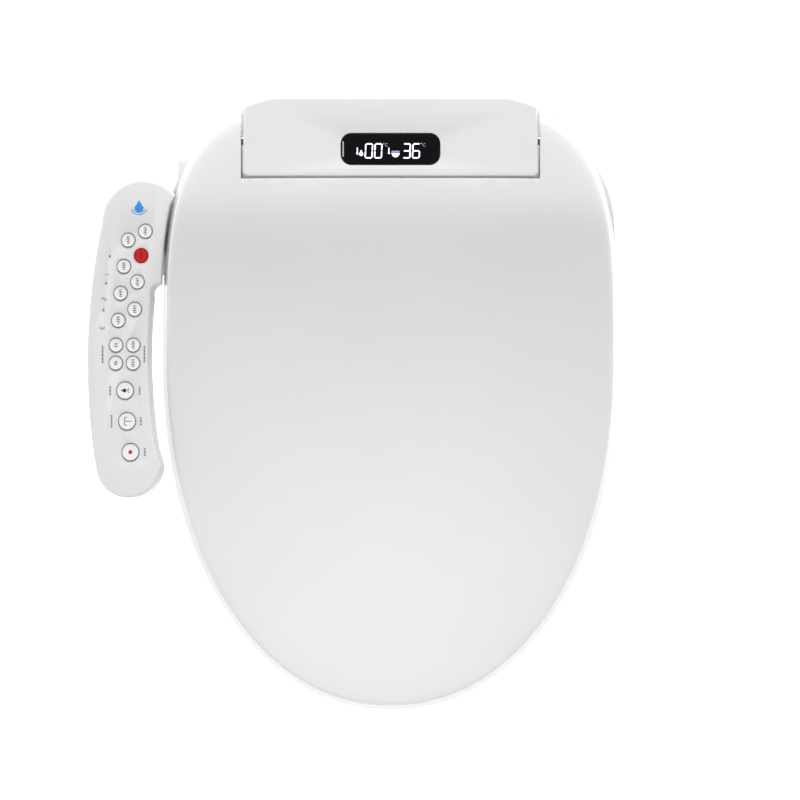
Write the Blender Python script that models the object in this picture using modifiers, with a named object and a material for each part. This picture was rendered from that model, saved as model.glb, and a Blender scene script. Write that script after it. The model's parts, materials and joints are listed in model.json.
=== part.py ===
"""Electric bidet seat with a control panel on an arm at its side.

Frame: +Z up, +Y to the rear, -Y to the front tip, -X to the control panel, which is
at the sitter's right hand.  The origin is the middle of the line through the two
fixing slots, on the underside of the docking plate, which lies on the toilet.
Every size below is in millimetres, and is scaled to metres where a mesh is made.
"""
import math

import bmesh
import bpy
from mathutils import Matrix, Vector

MM = 0.001
GAP = 0.3

# Plan outline: an egg made of two superellipses that share a centre line.
HALF_WIDTH = 190.0
EGG_CENTRE_Y = -165.0
FRONT_REACH = 290.0
FRONT_POWER = 2.1
REAR_REACH = 226.0
REAR_POWER = 3.6
REAR_Y = 55.0
FRONT_Y = EGG_CENTRE_Y - FRONT_REACH

# Rear body
BODY_FRONT_Y = -75.0
BODY_FOOT_Z = 1.0
BODY_PARTING_Z = 28.0
TROUGH_FLOOR_Z = 34.0
SHOULDER_Z = 58.0
HUMP_TOP_Z = 123.5
HUMP_HALF_WIDTH = 121.5
TROUGH_OUTER_X = 147.0
FLANK_BULGE = 3.0
WALL = 3.0
BASE_REAR_Y = 36.0
BASE_FLOOR_Z = 6.0

# Top plate and display
PLATE_HALF_WIDTH = 122.6
PLATE_FRONT_Y = -10.2
PLATE_TOP_Z = 128.0
DISPLAY_CENTRE_Y = 12.2
DISPLAY_WIDTH = 82.0
DISPLAY_DEPTH = 26.0
DISPLAY_CORNER = 9.0

# Hinge, shared by the seat and the lid
AXIS_Y = 20.0
AXIS_Z = 100.0
PIN_RADIUS = 4.0
BORE_RADIUS = 4.3
SEAT_HUB_RADIUS = 8.0
LID_HUB_RADIUS = 8.0
ARM_INNER_X = 124.0
ARM_OUTER_X = 136.0
LID_HUB_INNER_X = 138.0
LID_HUB_OUTER_X = 146.0

# Seat ring
SEAT_REAR_Y = -78.0
SEAT_INSET = 1.0
SEAT_THICKNESS = 22.0
SEAT_FRONT_TOP = 34.0
SEAT_REAR_TOP = 60.0
SEAT_REAR_POWER = 5.0
OPENING_CENTRE_Y = -262.0
OPENING_HALF_WIDTH = 108.0
OPENING_HALF_LENGTH = 148.0
OPENING_POWER = 2.2
RING_RAYS = 56

# Lid
LID_SKIN = 3.0
LID_DRAFT = 3.5
LID_CLEARANCE = 2.0
LID_RIDGE_Y = -40.0
LID_FRONT_HEIGHT = 16.0
LID_FALL_POWER = 3.4
LID_ROUNDING = 0.0016
LID_CROWN_POWER = 7.0
LID_EDGE_DROP = 7.0
LID_REAR_DROP = 12.0
LID_SKIRT_REACH = 38.0
LID_CUTOUT_HALF_WIDTH = 124.1
LID_CUTOUT_REACH = 41.6
LID_CUTOUT_MIN_REACH = 31.6
LID_NOTCH_FRONT = (22.0, 114.0)
LID_NOTCH_REAR = (50.0, 72.5)
LID_NOTCH_FOOT_Z = 40.0
LID_NOTCH_INNER_X = 110.0
LID_NOTCH_MARGIN = 1.5
LID_CUTOUT_HEIGHTS = (40.0, 27.0, 20.0, 0.0, -60.0)
LID_WEB_RISE = 10.0
LID_RAYS = 52

# Nozzles and dryer, which slope down to the front
NOZZLE_SLOPE = math.radians(13)
DUCT_SLOPE = math.radians(20)
NOZZLE_X = 14.0
NOZZLE_RADIUS = 6.0
NOZZLE_TIP_Y = -70.0
NOZZLE_TIP_Z = 26.5
NOZZLE_LENGTH = 105.0
NOZZLE_TIP_LENGTH = 22.0
DRYER_X = 80.0
DRYER_HINGE_Z = 37.0
BLOWER_Z = 62.0
BLOWER_RADIUS = 33.0

# Control panel, in its own tilted frame
PANEL_TILT = math.radians(11)
PANEL_PIVOT = Vector((-200.0, 0.0, 78.0))
PANEL_OUTER_X = -253.2
PANEL_OUTER_MID_Y = -165.0
PANEL_OUTER_BEND = 560.0
PANEL_INNER_X = -202.5
PANEL_INNER_MID_Y = -160.0
PANEL_INNER_BEND = 480.0
PANEL_HEAD = (-206.2, -47.0, 34.3)
PANEL_HEAD_MEET_Y = -25.5
PANEL_NECK_GAP = 1.8
PANEL_BEND_X = -191.6
PANEL_NECK_FRONT_Y = -99.8
PANEL_DEPTH = 24.0
PANEL_WALL = 2.5
PANEL_FACE = 3.7
KEY_SMALL = 5.9
KEY_LARGE = 7.3
KEY_INNER_INSET = 38.0
KEY_OUTER_INSET = 25.0
KEY_GRID_INNER_INSET = 38.4
KEY_GRID_OUTER_INSET = 24.0
KEY_LARGE_INSET = 31.3
KEY_GAP = 0.45

# Each key: name, inset from the panel's outer edge, distance along the seat, radius
KEYS = (
    ("power_key", KEY_INNER_INSET, -55.3, KEY_SMALL),
    ("seat_heat_key", KEY_OUTER_INSET, -62.7, KEY_SMALL),
    ("stop_key", KEY_INNER_INSET, -75.6, KEY_SMALL),
    ("water_heat_key", KEY_OUTER_INSET, -84.6, KEY_SMALL),
    ("pressure_key", KEY_INNER_INSET, -97.6, KEY_SMALL),
    ("nozzle_position_key", KEY_OUTER_INSET, -107.0, KEY_SMALL),
    ("massage_key", KEY_INNER_INSET, -120.4, KEY_SMALL),
    ("energy_save_key", KEY_OUTER_INSET, -129.6, KEY_SMALL),
    ("pressure_up_key", KEY_GRID_OUTER_INSET, -150.2, KEY_SMALL),
    ("position_forward_key", KEY_GRID_INNER_INSET, -150.2, KEY_SMALL),
    ("pressure_down_key", KEY_GRID_OUTER_INSET, -165.2, KEY_SMALL),
    ("position_back_key", KEY_GRID_INNER_INSET, -165.2, KEY_SMALL),
    ("wash_key", KEY_LARGE_INSET, -188.1, KEY_LARGE),
    ("bidet_key", KEY_LARGE_INSET, -213.7, KEY_LARGE),
    ("dry_key", KEY_LARGE_INSET, -239.4, KEY_LARGE),
)
LIGHT_INSET = 12.0
LIGHT_FIRST_Y = -76.3
LIGHT_PITCH = -22.5
LIGHT_COUNT = 3

# Finishes: colour, roughness, metallic
FINISHES = {
    "white_gloss": ((0.86, 0.87, 0.88), 0.22, 0.0),
    "white_satin": ((0.80, 0.81, 0.83), 0.42, 0.0),
    "black_glass": ((0.01, 0.01, 0.015), 0.08, 0.0),
    "board_green": ((0.03, 0.18, 0.09), 0.55, 0.0),
    "steel": ((0.60, 0.61, 0.63), 0.30, 1.0),
    "brass": ((0.72, 0.56, 0.30), 0.32, 1.0),
    "grey_plastic": ((0.30, 0.31, 0.33), 0.50, 0.0),
    "dark_plastic": ((0.06, 0.06, 0.07), 0.45, 0.0),
    "rubber": ((0.12, 0.12, 0.13), 0.80, 0.0),
    "red_plastic": ((0.60, 0.01, 0.01), 0.30, 0.0),
    "clear_plastic": ((0.75, 0.80, 0.84), 0.15, 0.0),
    "amber_film": ((0.55, 0.30, 0.08), 0.45, 0.0),
}


# ---------------------------------------------------------------- scene helpers

def clear_scene():
    for obj in list(bpy.data.objects):
        bpy.data.objects.remove(obj, do_unlink=True)


def new_group(name):
    group = bpy.data.collections.new(name)
    bpy.context.scene.collection.children.link(group)
    return group


def make_material(name):
    colour, roughness, metallic = FINISHES[name]
    material = bpy.data.materials.new(name)
    material.use_nodes = True
    shader = material.node_tree.nodes["Principled BSDF"]
    shader.inputs["Base Color"].default_value = (*colour, 1.0)
    shader.inputs["Roughness"].default_value = roughness
    shader.inputs["Metallic"].default_value = metallic
    return material


def paint(obj, finish, crease=32):
    """Give an object its finish and smooth shading with creases kept sharp."""
    obj.data.materials.clear()
    obj.data.materials.append(bpy.data.materials[finish])
    obj.data.shade_smooth()
    obj.data.set_sharp_from_angle(angle=math.radians(crease))
    return obj


def add_mesh(name, bm, group):
    bmesh.ops.recalc_face_normals(bm, faces=bm.faces)
    mesh = bpy.data.meshes.new(name)
    bm.to_mesh(mesh)
    bm.free()
    obj = bpy.data.objects.new(name, mesh)
    group.objects.link(obj)
    return obj


def combine(target, operation, *tools):
    """Cut or join hidden tool objects into a target, one after the other."""
    for tool in tools:
        tool.hide_render = True
        tool.display_type = "WIRE"
        modifier = target.modifiers.new(tool.name, "BOOLEAN")
        modifier.operation = operation
        modifier.solver = "EXACT"
        modifier.object = tool
    return target


def bevel(obj, width, segments=2, angle=40):
    modifier = obj.modifiers.new("soft edges", "BEVEL")
    modifier.width = width * MM
    modifier.segments = segments
    modifier.limit_method = "ANGLE"
    modifier.angle_limit = math.radians(angle)
    return obj


def box(name, low, high, group, turn=None):
    """A box between two corners; turn is a matrix applied about the origin."""
    low = Vector(low)
    high = Vector(high)
    bm = bmesh.new()
    place = Matrix.Translation((low + high) / 2 * MM)
    size = Matrix.Diagonal((*((high - low) * MM), 1.0))
    bmesh.ops.create_cube(bm, size=1.0, matrix=(turn or Matrix()) @ place @ size)
    return add_mesh(name, bm, group)


def rod(name, start, end, radius, group, segments=18, end_radius=None):
    """A round bar, or a cone, from one point to another."""
    start = Vector(start)
    end = Vector(end)
    along = end - start
    spin = Vector((0, 0, 1)).rotation_difference(along.normalized()).to_matrix().to_4x4()
    bm = bmesh.new()
    bmesh.ops.create_cone(
        bm,
        cap_ends=True,
        segments=segments,
        radius1=radius * MM,
        radius2=(radius if end_radius is None else end_radius) * MM,
        depth=along.length * MM,
        matrix=Matrix.Translation((start + end) / 2 * MM) @ spin,
    )
    return add_mesh(name, bm, group)


def turned(name, profile, group, place, steps=24):
    """A profile of (radius, height) points, top to bottom, turned about an axis."""
    bm = bmesh.new()
    verts = [bm.verts.new((radius * MM, 0.0, height * MM)) for radius, height in profile]
    for upper, lower in zip(verts, verts[1:]):
        bm.edges.new((upper, lower))
    mesh = bpy.data.meshes.new(name)
    bm.to_mesh(mesh)
    bm.free()
    obj = bpy.data.objects.new(name, mesh)
    group.objects.link(obj)
    obj.matrix_world = place
    screw = obj.modifiers.new("turn", "SCREW")
    screw.steps = steps
    screw.render_steps = steps
    screw.use_merge_vertices = True
    screw.merge_threshold = 0.00001
    return obj


def hang(name, point, members, group, frame=None):
    """Parent moving pieces to an empty that stands on their joint's axis."""
    pivot = bpy.data.objects.new(name, None)
    pivot.empty_display_size = 0.02
    group.objects.link(pivot)
    pivot.matrix_world = frame or Matrix.Translation(Vector(point) * MM)
    bpy.context.view_layer.update()
    for member in members:
        place = member.matrix_world.copy()
        member.parent = pivot
        member.matrix_parent_inverse = pivot.matrix_world.inverted()
        member.matrix_world = place
    return pivot


PLANE_TURN = {
    "Z": Matrix.Identity(4),
    "X": Matrix(((0, 0, 1, 0), (1, 0, 0, 0), (0, 1, 0, 0), (0, 0, 0, 1))),
    "Y": Matrix(((1, 0, 0, 0), (0, 0, -1, 0), (0, 1, 0, 0), (0, 0, 0, 1))),
}


def sheet(name, outlines, low, high, group, axis="Z"):
    """Flat outlines, the first with the others as holes, extruded between two levels.

    Outlines are (x, y) along Z, (y, z) along X and (x, z) along Y.
    """
    curve = bpy.data.curves.new(name, "CURVE")
    curve.dimensions = "2D"
    curve.fill_mode = "BOTH"
    curve.extrude = (high - low) / 2 * MM
    for outline in outlines:
        spline = curve.splines.new("POLY")
        spline.points.add(len(outline) - 1)
        for point, (u, v) in zip(spline.points, outline):
            point.co = (u * MM, v * MM, 0.0, 1.0)
        spline.use_cyclic_u = True
    guide = bpy.data.objects.new(name + "_outline", curve)
    group.objects.link(guide)
    middle = (low + high) / 2 * MM
    shift = Matrix.Translation(Vector((0, 0, -middle if axis == "Y" else middle)))
    guide.matrix_world = PLANE_TURN[axis] @ shift
    bpy.context.view_layer.update()
    evaluated = guide.evaluated_get(bpy.context.evaluated_depsgraph_get())
    source = bpy.data.meshes.new_from_object(evaluated)
    bm = bmesh.new()
    bm.from_mesh(source)
    bmesh.ops.remove_doubles(bm, verts=bm.verts, dist=0.000001)
    bm.transform(guide.matrix_world)
    bpy.data.objects.remove(guide, do_unlink=True)
    bpy.data.curves.remove(curve)
    bpy.data.meshes.remove(source)
    return add_mesh(name, bm, group)


def loft(name, rings, group, closed):
    """Skin a list of point rings; closed joins the last to the first, else both are capped."""
    bm = bmesh.new()
    layers = [[bm.verts.new(Vector(point) * MM) for point in ring] for ring in rings]
    pairs = list(zip(layers, layers[1:]))
    if closed:
        pairs.append((layers[-1], layers[0]))
    for lower, upper in pairs:
        for index in range(len(lower)):
            following = (index + 1) % len(lower)
            bm.faces.new((lower[index], lower[following], upper[following], upper[index]))
    if not closed:
        bm.faces.new(list(reversed(layers[0])))
        bm.faces.new(layers[-1])
    bmesh.ops.triangulate(bm, faces=[face for face in bm.faces if len(face.verts) > 4])
    return add_mesh(name, bm, group)


# ---------------------------------------------------------------- plan curves

def signed_power(value, power):
    return math.copysign(abs(value) ** power, value)


def egg_point(angle, inset=0.0):
    """A point of the plan outline, pulled in by an inset."""
    rear = math.sin(angle) >= 0
    reach = REAR_REACH if rear else FRONT_REACH
    power = REAR_POWER if rear else FRONT_POWER
    x = (HALF_WIDTH - inset) * signed_power(math.cos(angle), 2 / power)
    y = EGG_CENTRE_Y + (reach - inset) * signed_power(math.sin(angle), 2 / power)
    return x, y


def half_width(y, inset=0.0):
    """Half the width of the plan outline at a place along the seat."""
    rear = y >= EGG_CENTRE_Y
    reach = (REAR_REACH if rear else FRONT_REACH) - inset
    power = REAR_POWER if rear else FRONT_POWER
    share = min(1.0, abs(y - EGG_CENTRE_Y) / reach)
    return (HALF_WIDTH - inset) * (1 - share ** power) ** (1 / power)


def rear_edge_y(x, inset=0.0):
    """Where the rear of the plan outline crosses a place across the seat."""
    share = x / (HALF_WIDTH - inset)
    return EGG_CENTRE_Y + (REAR_REACH - inset) * (1 - share ** REAR_POWER) ** (1 / REAR_POWER)


def mirrored(right_side):
    """Close a right-hand run of points with its mirror image."""
    return right_side + [(-x, y) for x, y in reversed(right_side)]


def spaced(start, end, count):
    """Places from start to end that lie closer together towards the end."""
    return [start + (end - start) * math.sin(step / (count - 1) * math.pi / 2) for step in range(count)]


def body_outline(inset, front, rear, count=14):
    """Plan of the rear body, whose flanks swell out a little beside the lid."""
    right = []
    for y in spaced(front, rear, count):
        swell = math.cos(math.pi * min(1.0, abs(y + 30) / 45) / 2) ** 2
        right.append((half_width(y, inset) + FLANK_BULGE * swell, y))
    return mirrored(right)


def plate_outline(inset):
    """Plan of the top plate: straight sides and front, egg-shaped rear corners."""
    side = PLATE_HALF_WIDTH - inset
    corner = 3.0
    rear = REAR_Y - inset
    right = [(side - corner, PLATE_FRONT_Y + inset), (side, PLATE_FRONT_Y + inset + corner)]
    right += [(half_width(y, inset), y) for y in spaced(rear_edge_y(side, inset), rear, 7)]
    return mirrored(right)


def oval(centre, radius_x, radius_y, count, power=2.0, start=0.0, end=2 * math.pi):
    """Points on an ellipse or superellipse; a full turn leaves out the repeated end."""
    full = abs(end - start - 2 * math.pi) < 1e-6
    steps = count if full else count - 1
    points = []
    for index in range(count):
        angle = start + (end - start) * index / steps
        x = centre[0] + radius_x * signed_power(math.cos(angle), 2 / power)
        y = centre[1] + radius_y * signed_power(math.sin(angle), 2 / power)
        points.append((x, y))
    return points


def rounded_rectangle(centre, width, depth, corner, count=4):
    points = []
    for quarter in range(4):
        angle = quarter * math.pi / 2
        side_x = 1 if quarter in (0, 3) else -1
        side_y = 1 if quarter in (0, 1) else -1
        middle = (centre[0] + side_x * (width / 2 - corner), centre[1] + side_y * (depth / 2 - corner))
        points += oval(middle, corner, corner, count, start=angle, end=angle + math.pi / 2)
    return points


# ---------------------------------------------------------------- seat and lid heights

def seat_plane(y):
    """The top of the seat, which rises to the rear."""
    share = (y - FRONT_Y) / (SEAT_REAR_Y - FRONT_Y)
    return SEAT_FRONT_TOP + (SEAT_REAR_TOP - SEAT_FRONT_TOP) * share


def lid_skirt(y):
    """Lower edge of the lid: over the seat, then round the hinge axis."""
    if y > AXIS_Y:
        return AXIS_Z - math.sqrt(LID_SKIRT_REACH ** 2 - (y - AXIS_Y) ** 2)
    return min(seat_plane(y), SEAT_REAR_TOP) + LID_CLEARANCE


def lid_crown(y):
    """Height of the lid on its centre line: level over the body, then a long fall."""
    share = (LID_RIDGE_Y - y) / (LID_RIDGE_Y - FRONT_Y)
    share = (share + math.sqrt(share ** 2 + LID_ROUNDING)) / 2
    place = LID_RIDGE_Y - (LID_RIDGE_Y - FRONT_Y) * share
    rise = PLATE_TOP_Z - seat_plane(LID_RIDGE_Y) - LID_FRONT_HEIGHT
    return seat_plane(place) + LID_FRONT_HEIGHT + rise * max(0.0, 1 - share) ** LID_FALL_POWER


def lid_edge(y):
    """Height where the lid's side wall turns into its top."""
    return lid_crown(y) - LID_EDGE_DROP - LID_REAR_DROP * ((y - FRONT_Y) / -FRONT_Y) ** 1.5


def lid_height(y, share, drop):
    """Height of the lid's top at a share of the way out from its centre."""
    crown = lid_crown(y) - drop
    edge = lid_edge(y) - drop
    return edge + (crown - edge) * (1 - share ** LID_CROWN_POWER) ** (1 / LID_CROWN_POWER)


# ---------------------------------------------------------------- rear body

def body_form(name, inset, bottom, group, tools):
    """The body's outer form, or with an inset the hollow inside it."""
    outline = body_outline(inset, BODY_FRONT_Y + inset, REAR_Y - 1 - inset)
    form = sheet(name, [outline], bottom, HUMP_TOP_Z - inset, group)
    hump = HUMP_HALF_WIDTH - inset
    trough = TROUGH_OUTER_X + inset
    for side in (-1, 1):
        x_range = sorted((side * hump, side * trough))
        tools_low = (x_range[0], -90, TROUGH_FLOOR_Z - inset)
        channel = box(f"{name}_trough_{side}", tools_low, (x_range[1], 70, 140), tools)
        x_range = sorted((side * (trough - 1), side * 220))
        above = box(f"{name}_above_{side}", (x_range[0], -90, SHOULDER_Z - inset), (x_range[1], 70, 140), tools)
        combine(form, "DIFFERENCE", channel, above)
    shift = inset * 1.2
    face = [
        (-90, 46 - inset),
        (BODY_FRONT_Y + inset, 46 - inset),
        (-58 + shift, 64),
        (-40 + shift, 86),
        (-24 + shift, 104),
        (-14 + shift, 118 - inset / 2),
        (-11 + shift, 140),
        (-90, 140),
    ]
    front = sheet(f"{name}_front_face", [face], -hump - 0.5, hump + 0.5, tools, axis="X")
    return combine(form, "DIFFERENCE", front)


def front_windows(tag, tools):
    """Openings in the front wall for the nozzles and the dryer."""
    nozzles = box(f"{tag}_nozzle_window", (-32, -80, 10.6), (32, -70.5, 40), tools)
    dryer = box(f"{tag}_dryer_window", (DRYER_X - 17.5, -80, 12.5), (DRYER_X + 17.5, -70.5, 39), tools)
    return nozzles, dryer


def build_body_cover(group, tools):
    cover = body_form("body_cover", 0.0, BODY_PARTING_Z + GAP, group, tools)
    hollow = body_form("body_cover_hollow", WALL, BODY_PARTING_Z - 4, tools, tools)
    combine(cover, "DIFFERENCE", hollow)
    combine(cover, "DIFFERENCE", *front_windows("cover", tools))
    window = rounded_rectangle((0, DISPLAY_CENTRE_Y), DISPLAY_WIDTH - 4, DISPLAY_DEPTH - 4, DISPLAY_CORNER - 2)
    display = sheet("cover_display_window", [window], 115, 130, tools)
    bores = rod("cover_pin_bores", (-130, AXIS_Y, AXIS_Z), (130, AXIS_Y, AXIS_Z), BORE_RADIUS, tools)
    release = box("cover_release_window", (-190, -14.4, 35.6), (-150, 9.4, 50.4), tools)
    combine(cover, "DIFFERENCE", display, bores, release)
    return paint(cover, "white_gloss")


def build_base_case(group, tools):
    base = sheet("base_case", [body_outline(1.5, BODY_FRONT_Y, BASE_REAR_Y)], BODY_FOOT_Z, BODY_PARTING_Z, group)
    inner = body_outline(1.5 + WALL, BODY_FRONT_Y + WALL, BASE_REAR_Y - WALL)
    hollow = sheet("base_hollow", [inner], BASE_FLOOR_Z + WALL, BODY_PARTING_Z + 5, tools)
    recess = sheet("base_recess", [inner], BODY_FOOT_Z - 5, BASE_FLOOR_Z, tools)
    inlet = rod("base_inlet_hole", (95, 28, 17), (95, 40, 17), 6.6, tools)
    cord = rod("base_cord_hole", (60, 28, 17), (60, 40, 17), 5.6, tools)
    combine(base, "DIFFERENCE", hollow, recess, inlet, cord)
    combine(base, "DIFFERENCE", *front_windows("base", tools))
    return paint(base, "white_satin")


def build_top_plate(group, tools):
    plate = sheet("top_plate", [plate_outline(0.0)], HUMP_TOP_Z + GAP, PLATE_TOP_Z, group)
    window = rounded_rectangle((0, DISPLAY_CENTRE_Y), DISPLAY_WIDTH + 0.8, DISPLAY_DEPTH + 0.8, DISPLAY_CORNER)
    combine(plate, "DIFFERENCE", sheet("plate_window", [window], 120, 132, tools))
    return paint(bevel(plate, 0.8), "white_gloss")


def build_display(group):
    lens = rounded_rectangle((0, DISPLAY_CENTRE_Y), DISPLAY_WIDTH, DISPLAY_DEPTH, DISPLAY_CORNER)
    paint(sheet("display_lens", [lens], HUMP_TOP_Z + GAP, PLATE_TOP_Z, group), "black_glass")
    low = (-DISPLAY_WIDTH / 2 + 4, DISPLAY_CENTRE_Y - 9, 118.0)
    high = (DISPLAY_WIDTH / 2 - 4, DISPLAY_CENTRE_Y + 9, 119.6)
    paint(box("display_board", low, high, group), "board_green")


def build_docking_plate(group):
    outline = rounded_rectangle((0, -2), 180, 58, 8)
    slots = [rounded_rectangle((side * 70, 0), 30, 11, 5.4) for side in (-1, 1)]
    catch = rounded_rectangle((0, 17), 40, 8, 3.9)
    plate = sheet("docking_plate", [outline, *slots, catch], 0.0, BASE_FLOOR_Z - 2 * GAP, group)
    paint(plate, "grey_plastic")


def build_hinge_pins(group):
    for side, tag in ((-1, "right"), (1, "left")):
        start = (side * 110, AXIS_Y, AXIS_Z)
        end = (side * (LID_HUB_OUTER_X + 0.8), AXIS_Y, AXIS_Z)
        paint(rod(f"hinge_pin_{tag}", start, end, PIN_RADIUS, group), "steel")
    for side, name in ((-1, "seat_damper"), (1, "lid_damper")):
        start = (side * 86, AXIS_Y, AXIS_Z)
        end = (side * (110 - GAP), AXIS_Y, AXIS_Z)
        paint(bevel(rod(name, start, end, 8.5, group), 1.0, 1), "dark_plastic")


def build_release_button(group, tools):
    """Oval button on the flank that frees the docking catch when it is pressed in."""
    button = box("quick_release_button", (-177.8, -14, 36), (-158, 9, 50), group)
    bevel(button, 3.0, 2)
    return paint(button, "white_satin")


# ---------------------------------------------------------------- water and air

def slope_frame(x, y, z, slope):
    """A frame whose +Z runs back and up along a slope, with +X kept."""
    turn = Matrix.Rotation(slope - math.pi / 2, 4, "X")
    return Matrix.Translation(Vector((x, y, z)) * MM) @ turn


def slope_point(distance, x=0.0):
    """A point on the nozzles' centre line, back from the resting tip."""
    return (x, NOZZLE_TIP_Y + distance * math.cos(NOZZLE_SLOPE), NOZZLE_TIP_Z + distance * math.sin(NOZZLE_SLOPE))


def build_nozzles(group, tools):
    frame = slope_frame(0, NOZZLE_TIP_Y, NOZZLE_TIP_Z, NOZZLE_SLOPE)
    housing = box("nozzle_housing", (-30, -12.5, -14), (30, 12.5, 66), group, turn=frame)
    trim = box("nozzle_housing_trim", (-50, -110, -20), (50, -74.5, 80), tools)
    combine(housing, "DIFFERENCE", trim)
    for x in (-NOZZLE_X, NOZZLE_X):
        tunnel = rod(f"nozzle_tunnel_{x:.0f}", slope_point(-30, x), slope_point(90, x), NOZZLE_RADIUS + 0.6, tools)
        combine(housing, "DIFFERENCE", tunnel)
    paint(housing, "grey_plastic")
    for x, tag in ((-NOZZLE_X, "rear"), (NOZZLE_X, "front")):
        start = slope_point(NOZZLE_TIP_LENGTH + GAP, x)
        wand = rod(f"{tag}_nozzle", start, slope_point(NOZZLE_LENGTH, x), NOZZLE_RADIUS, group)
        paint(bevel(wand, 0.6, 1), "white_satin")
        tip = rod(f"{tag}_nozzle_tip", slope_point(0, x), slope_point(NOZZLE_TIP_LENGTH, x), NOZZLE_RADIUS, group)
        paint(bevel(tip, 1.6, 1), "steel")
    for side, tag in ((-1, "rear"), (1, "front")):
        low = (side * 17 - 9, -14, 68)
        motor = bevel(box(f"{tag}_nozzle_motor", low, (side * 17 + 9, 4, 86), group), 1.5)
        paint(motor, "dark_plastic")


def build_dryer(group, tools):
    left = DRYER_X - 18
    right = DRYER_X + 18
    casing = rod("blower_housing", (left, 0, BLOWER_Z), (right, 0, BLOWER_Z), BLOWER_RADIUS, group, 28)
    chamber = rod("blower_chamber", (left + 3, 0, BLOWER_Z), (right - 3, 0, BLOWER_Z), 30, tools, 28)
    intake = rod("blower_intake", (right - 5, 0, BLOWER_Z), (right + 5, 0, BLOWER_Z), 17, tools)
    shaft_hole = rod("blower_shaft_hole", (left - 5, 0, BLOWER_Z), (left + 5, 0, BLOWER_Z), 3.5, tools, 16)
    duct_frame = slope_frame(DRYER_X, BODY_FRONT_Y + WALL + 0.4, 25.5, DUCT_SLOPE)
    outlet = box("blower_outlet", (-14, -8, 30), (14, 8, 62), tools, turn=duct_frame)
    combine(casing, "DIFFERENCE", chamber, intake, shaft_hole, outlet)
    paint(casing, "grey_plastic")

    duct = box("dryer_duct", (-16.5, -10.5, -10), (16.5, 10.5, 70), group, turn=duct_frame)
    bore = box("dryer_duct_bore", (-13.5, -7.5, -30), (13.5, 7.5, 90), tools, turn=duct_frame)
    front_trim = box("dryer_duct_trim", (40, -120, -20), (120, BODY_FRONT_Y + WALL + 0.6, 90), tools)
    ends = ((left - 9, 0, BLOWER_Z), (right + 9, 0, BLOWER_Z))
    rear_trim = rod("dryer_duct_end", *ends, BLOWER_RADIUS + 2 * GAP, tools, 28)
    behind = box("dryer_duct_behind", (40, -20, 0), (120, 80, 120), tools)
    combine(duct, "DIFFERENCE", bore, front_trim, rear_trim, behind)
    paint(duct, "dark_plastic")

    shaft = [(0, 9), (2, 9), (2, -3.6), (13.5, -3.6), (13.5, -16), (11, -18), (0, -18)]
    place = Matrix.Translation(Vector((left, 0, BLOWER_Z)) * MM) @ Matrix.Rotation(math.pi / 2, 4, "Y")
    paint(turned("blower_motor", shaft, group, place, 16), "dark_plastic")

    slots = 12
    ring = [oval((0, BLOWER_Z), 27, 27, 24), oval((0, BLOWER_Z), 20, 20, 18)]
    for index in range(slots):
        turn = 2 * math.pi * index / slots
        points = []
        for radius, lean in ((21.5, -0.11), (25.5, -0.05), (25.5, 0.11), (21.5, 0.05)):
            points.append((radius * math.cos(turn + lean), BLOWER_Z + radius * math.sin(turn + lean)))
        ring.append(points)
    wheel = sheet("blower_wheel", ring, left + 7, right - 6, group, axis="X")
    disc = [oval((0, BLOWER_Z), 26.6, 26.6, 24), oval((0, BLOWER_Z), 2.4, 2.4, 12)]
    back = sheet("blower_wheel_back", disc, left + 5, left + 8, tools, axis="X")
    combine(wheel, "UNION", back)
    paint(wheel, "white_satin")


def build_dryer_flap(group):
    low = (DRYER_X - 16.7, BODY_FRONT_Y + 0.2, 13.4)
    high = (DRYER_X + 16.7, BODY_FRONT_Y + 2.2, DRYER_HINGE_Z + 1)
    paint(bevel(box("dryer_flap", low, high, group), 0.7, 1), "white_satin")


def build_inside(group):
    tank = bevel(box("heater_tank", (-106, -26, 34), (-46, 12, 88), group), 8, 2)
    paint(tank, "white_satin")
    valve = bevel(box("inlet_valve", (83, -4, 10), (107, 32.4, 26.5), group), 3, 2)
    paint(valve, "grey_plastic")
    thread = [(0, 9), (7.5, 9), (7.5, 18), (9.4, 18), (10.4, 17), (10.4, 5.2), (13, 5.2), (13, 3.8), (6, 3.8),
              (6, 0.2), (0, 0.2)]
    place = Matrix.Translation(Vector((95, 32.6, 17)) * MM) @ Matrix.Rotation(-math.pi / 2, 4, "X")
    paint(turned("water_inlet", thread, group, place, 18), "brass")
    gland = [(0, 17), (4.2, 17), (6.8, 15), (8, 7), (9.5, 7), (9.5, 3.8), (5, 3.8), (5, -4), (0, -4)]
    place = Matrix.Translation(Vector((60, 32.6, 17)) * MM) @ Matrix.Rotation(-math.pi / 2, 4, "X")
    paint(turned("power_cord_gland", gland, group, place, 16), "rubber")
    paint(box("main_board", (-100, 44, 36), (100, 45.6, 112), group), "board_green")


# ---------------------------------------------------------------- seat

def ring_hit(angle, centre_y, inside):
    """Distance from the opening's centre to where a test stops being true."""
    near = 0.0
    far = 400.0
    for _ in range(40):
        middle = (near + far) / 2
        x = middle * math.cos(angle)
        y = centre_y + middle * math.sin(angle)
        if inside(x, y):
            near = middle
        else:
            far = middle
    return near


def inside_seat(x, y):
    rear = y >= EGG_CENTRE_Y
    reach = (SEAT_REAR_Y - EGG_CENTRE_Y) if rear else FRONT_REACH - SEAT_INSET
    power = SEAT_REAR_POWER if rear else FRONT_POWER
    across = abs(x) / (HALF_WIDTH - SEAT_INSET)
    along = abs(y - EGG_CENTRE_Y) / reach
    return across ** power + along ** power < 1


def inside_opening(x, y):
    across = abs(x) / OPENING_HALF_WIDTH
    along = abs(y - OPENING_CENTRE_Y) / OPENING_HALF_LENGTH
    return across ** OPENING_POWER + along ** OPENING_POWER < 1


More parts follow.
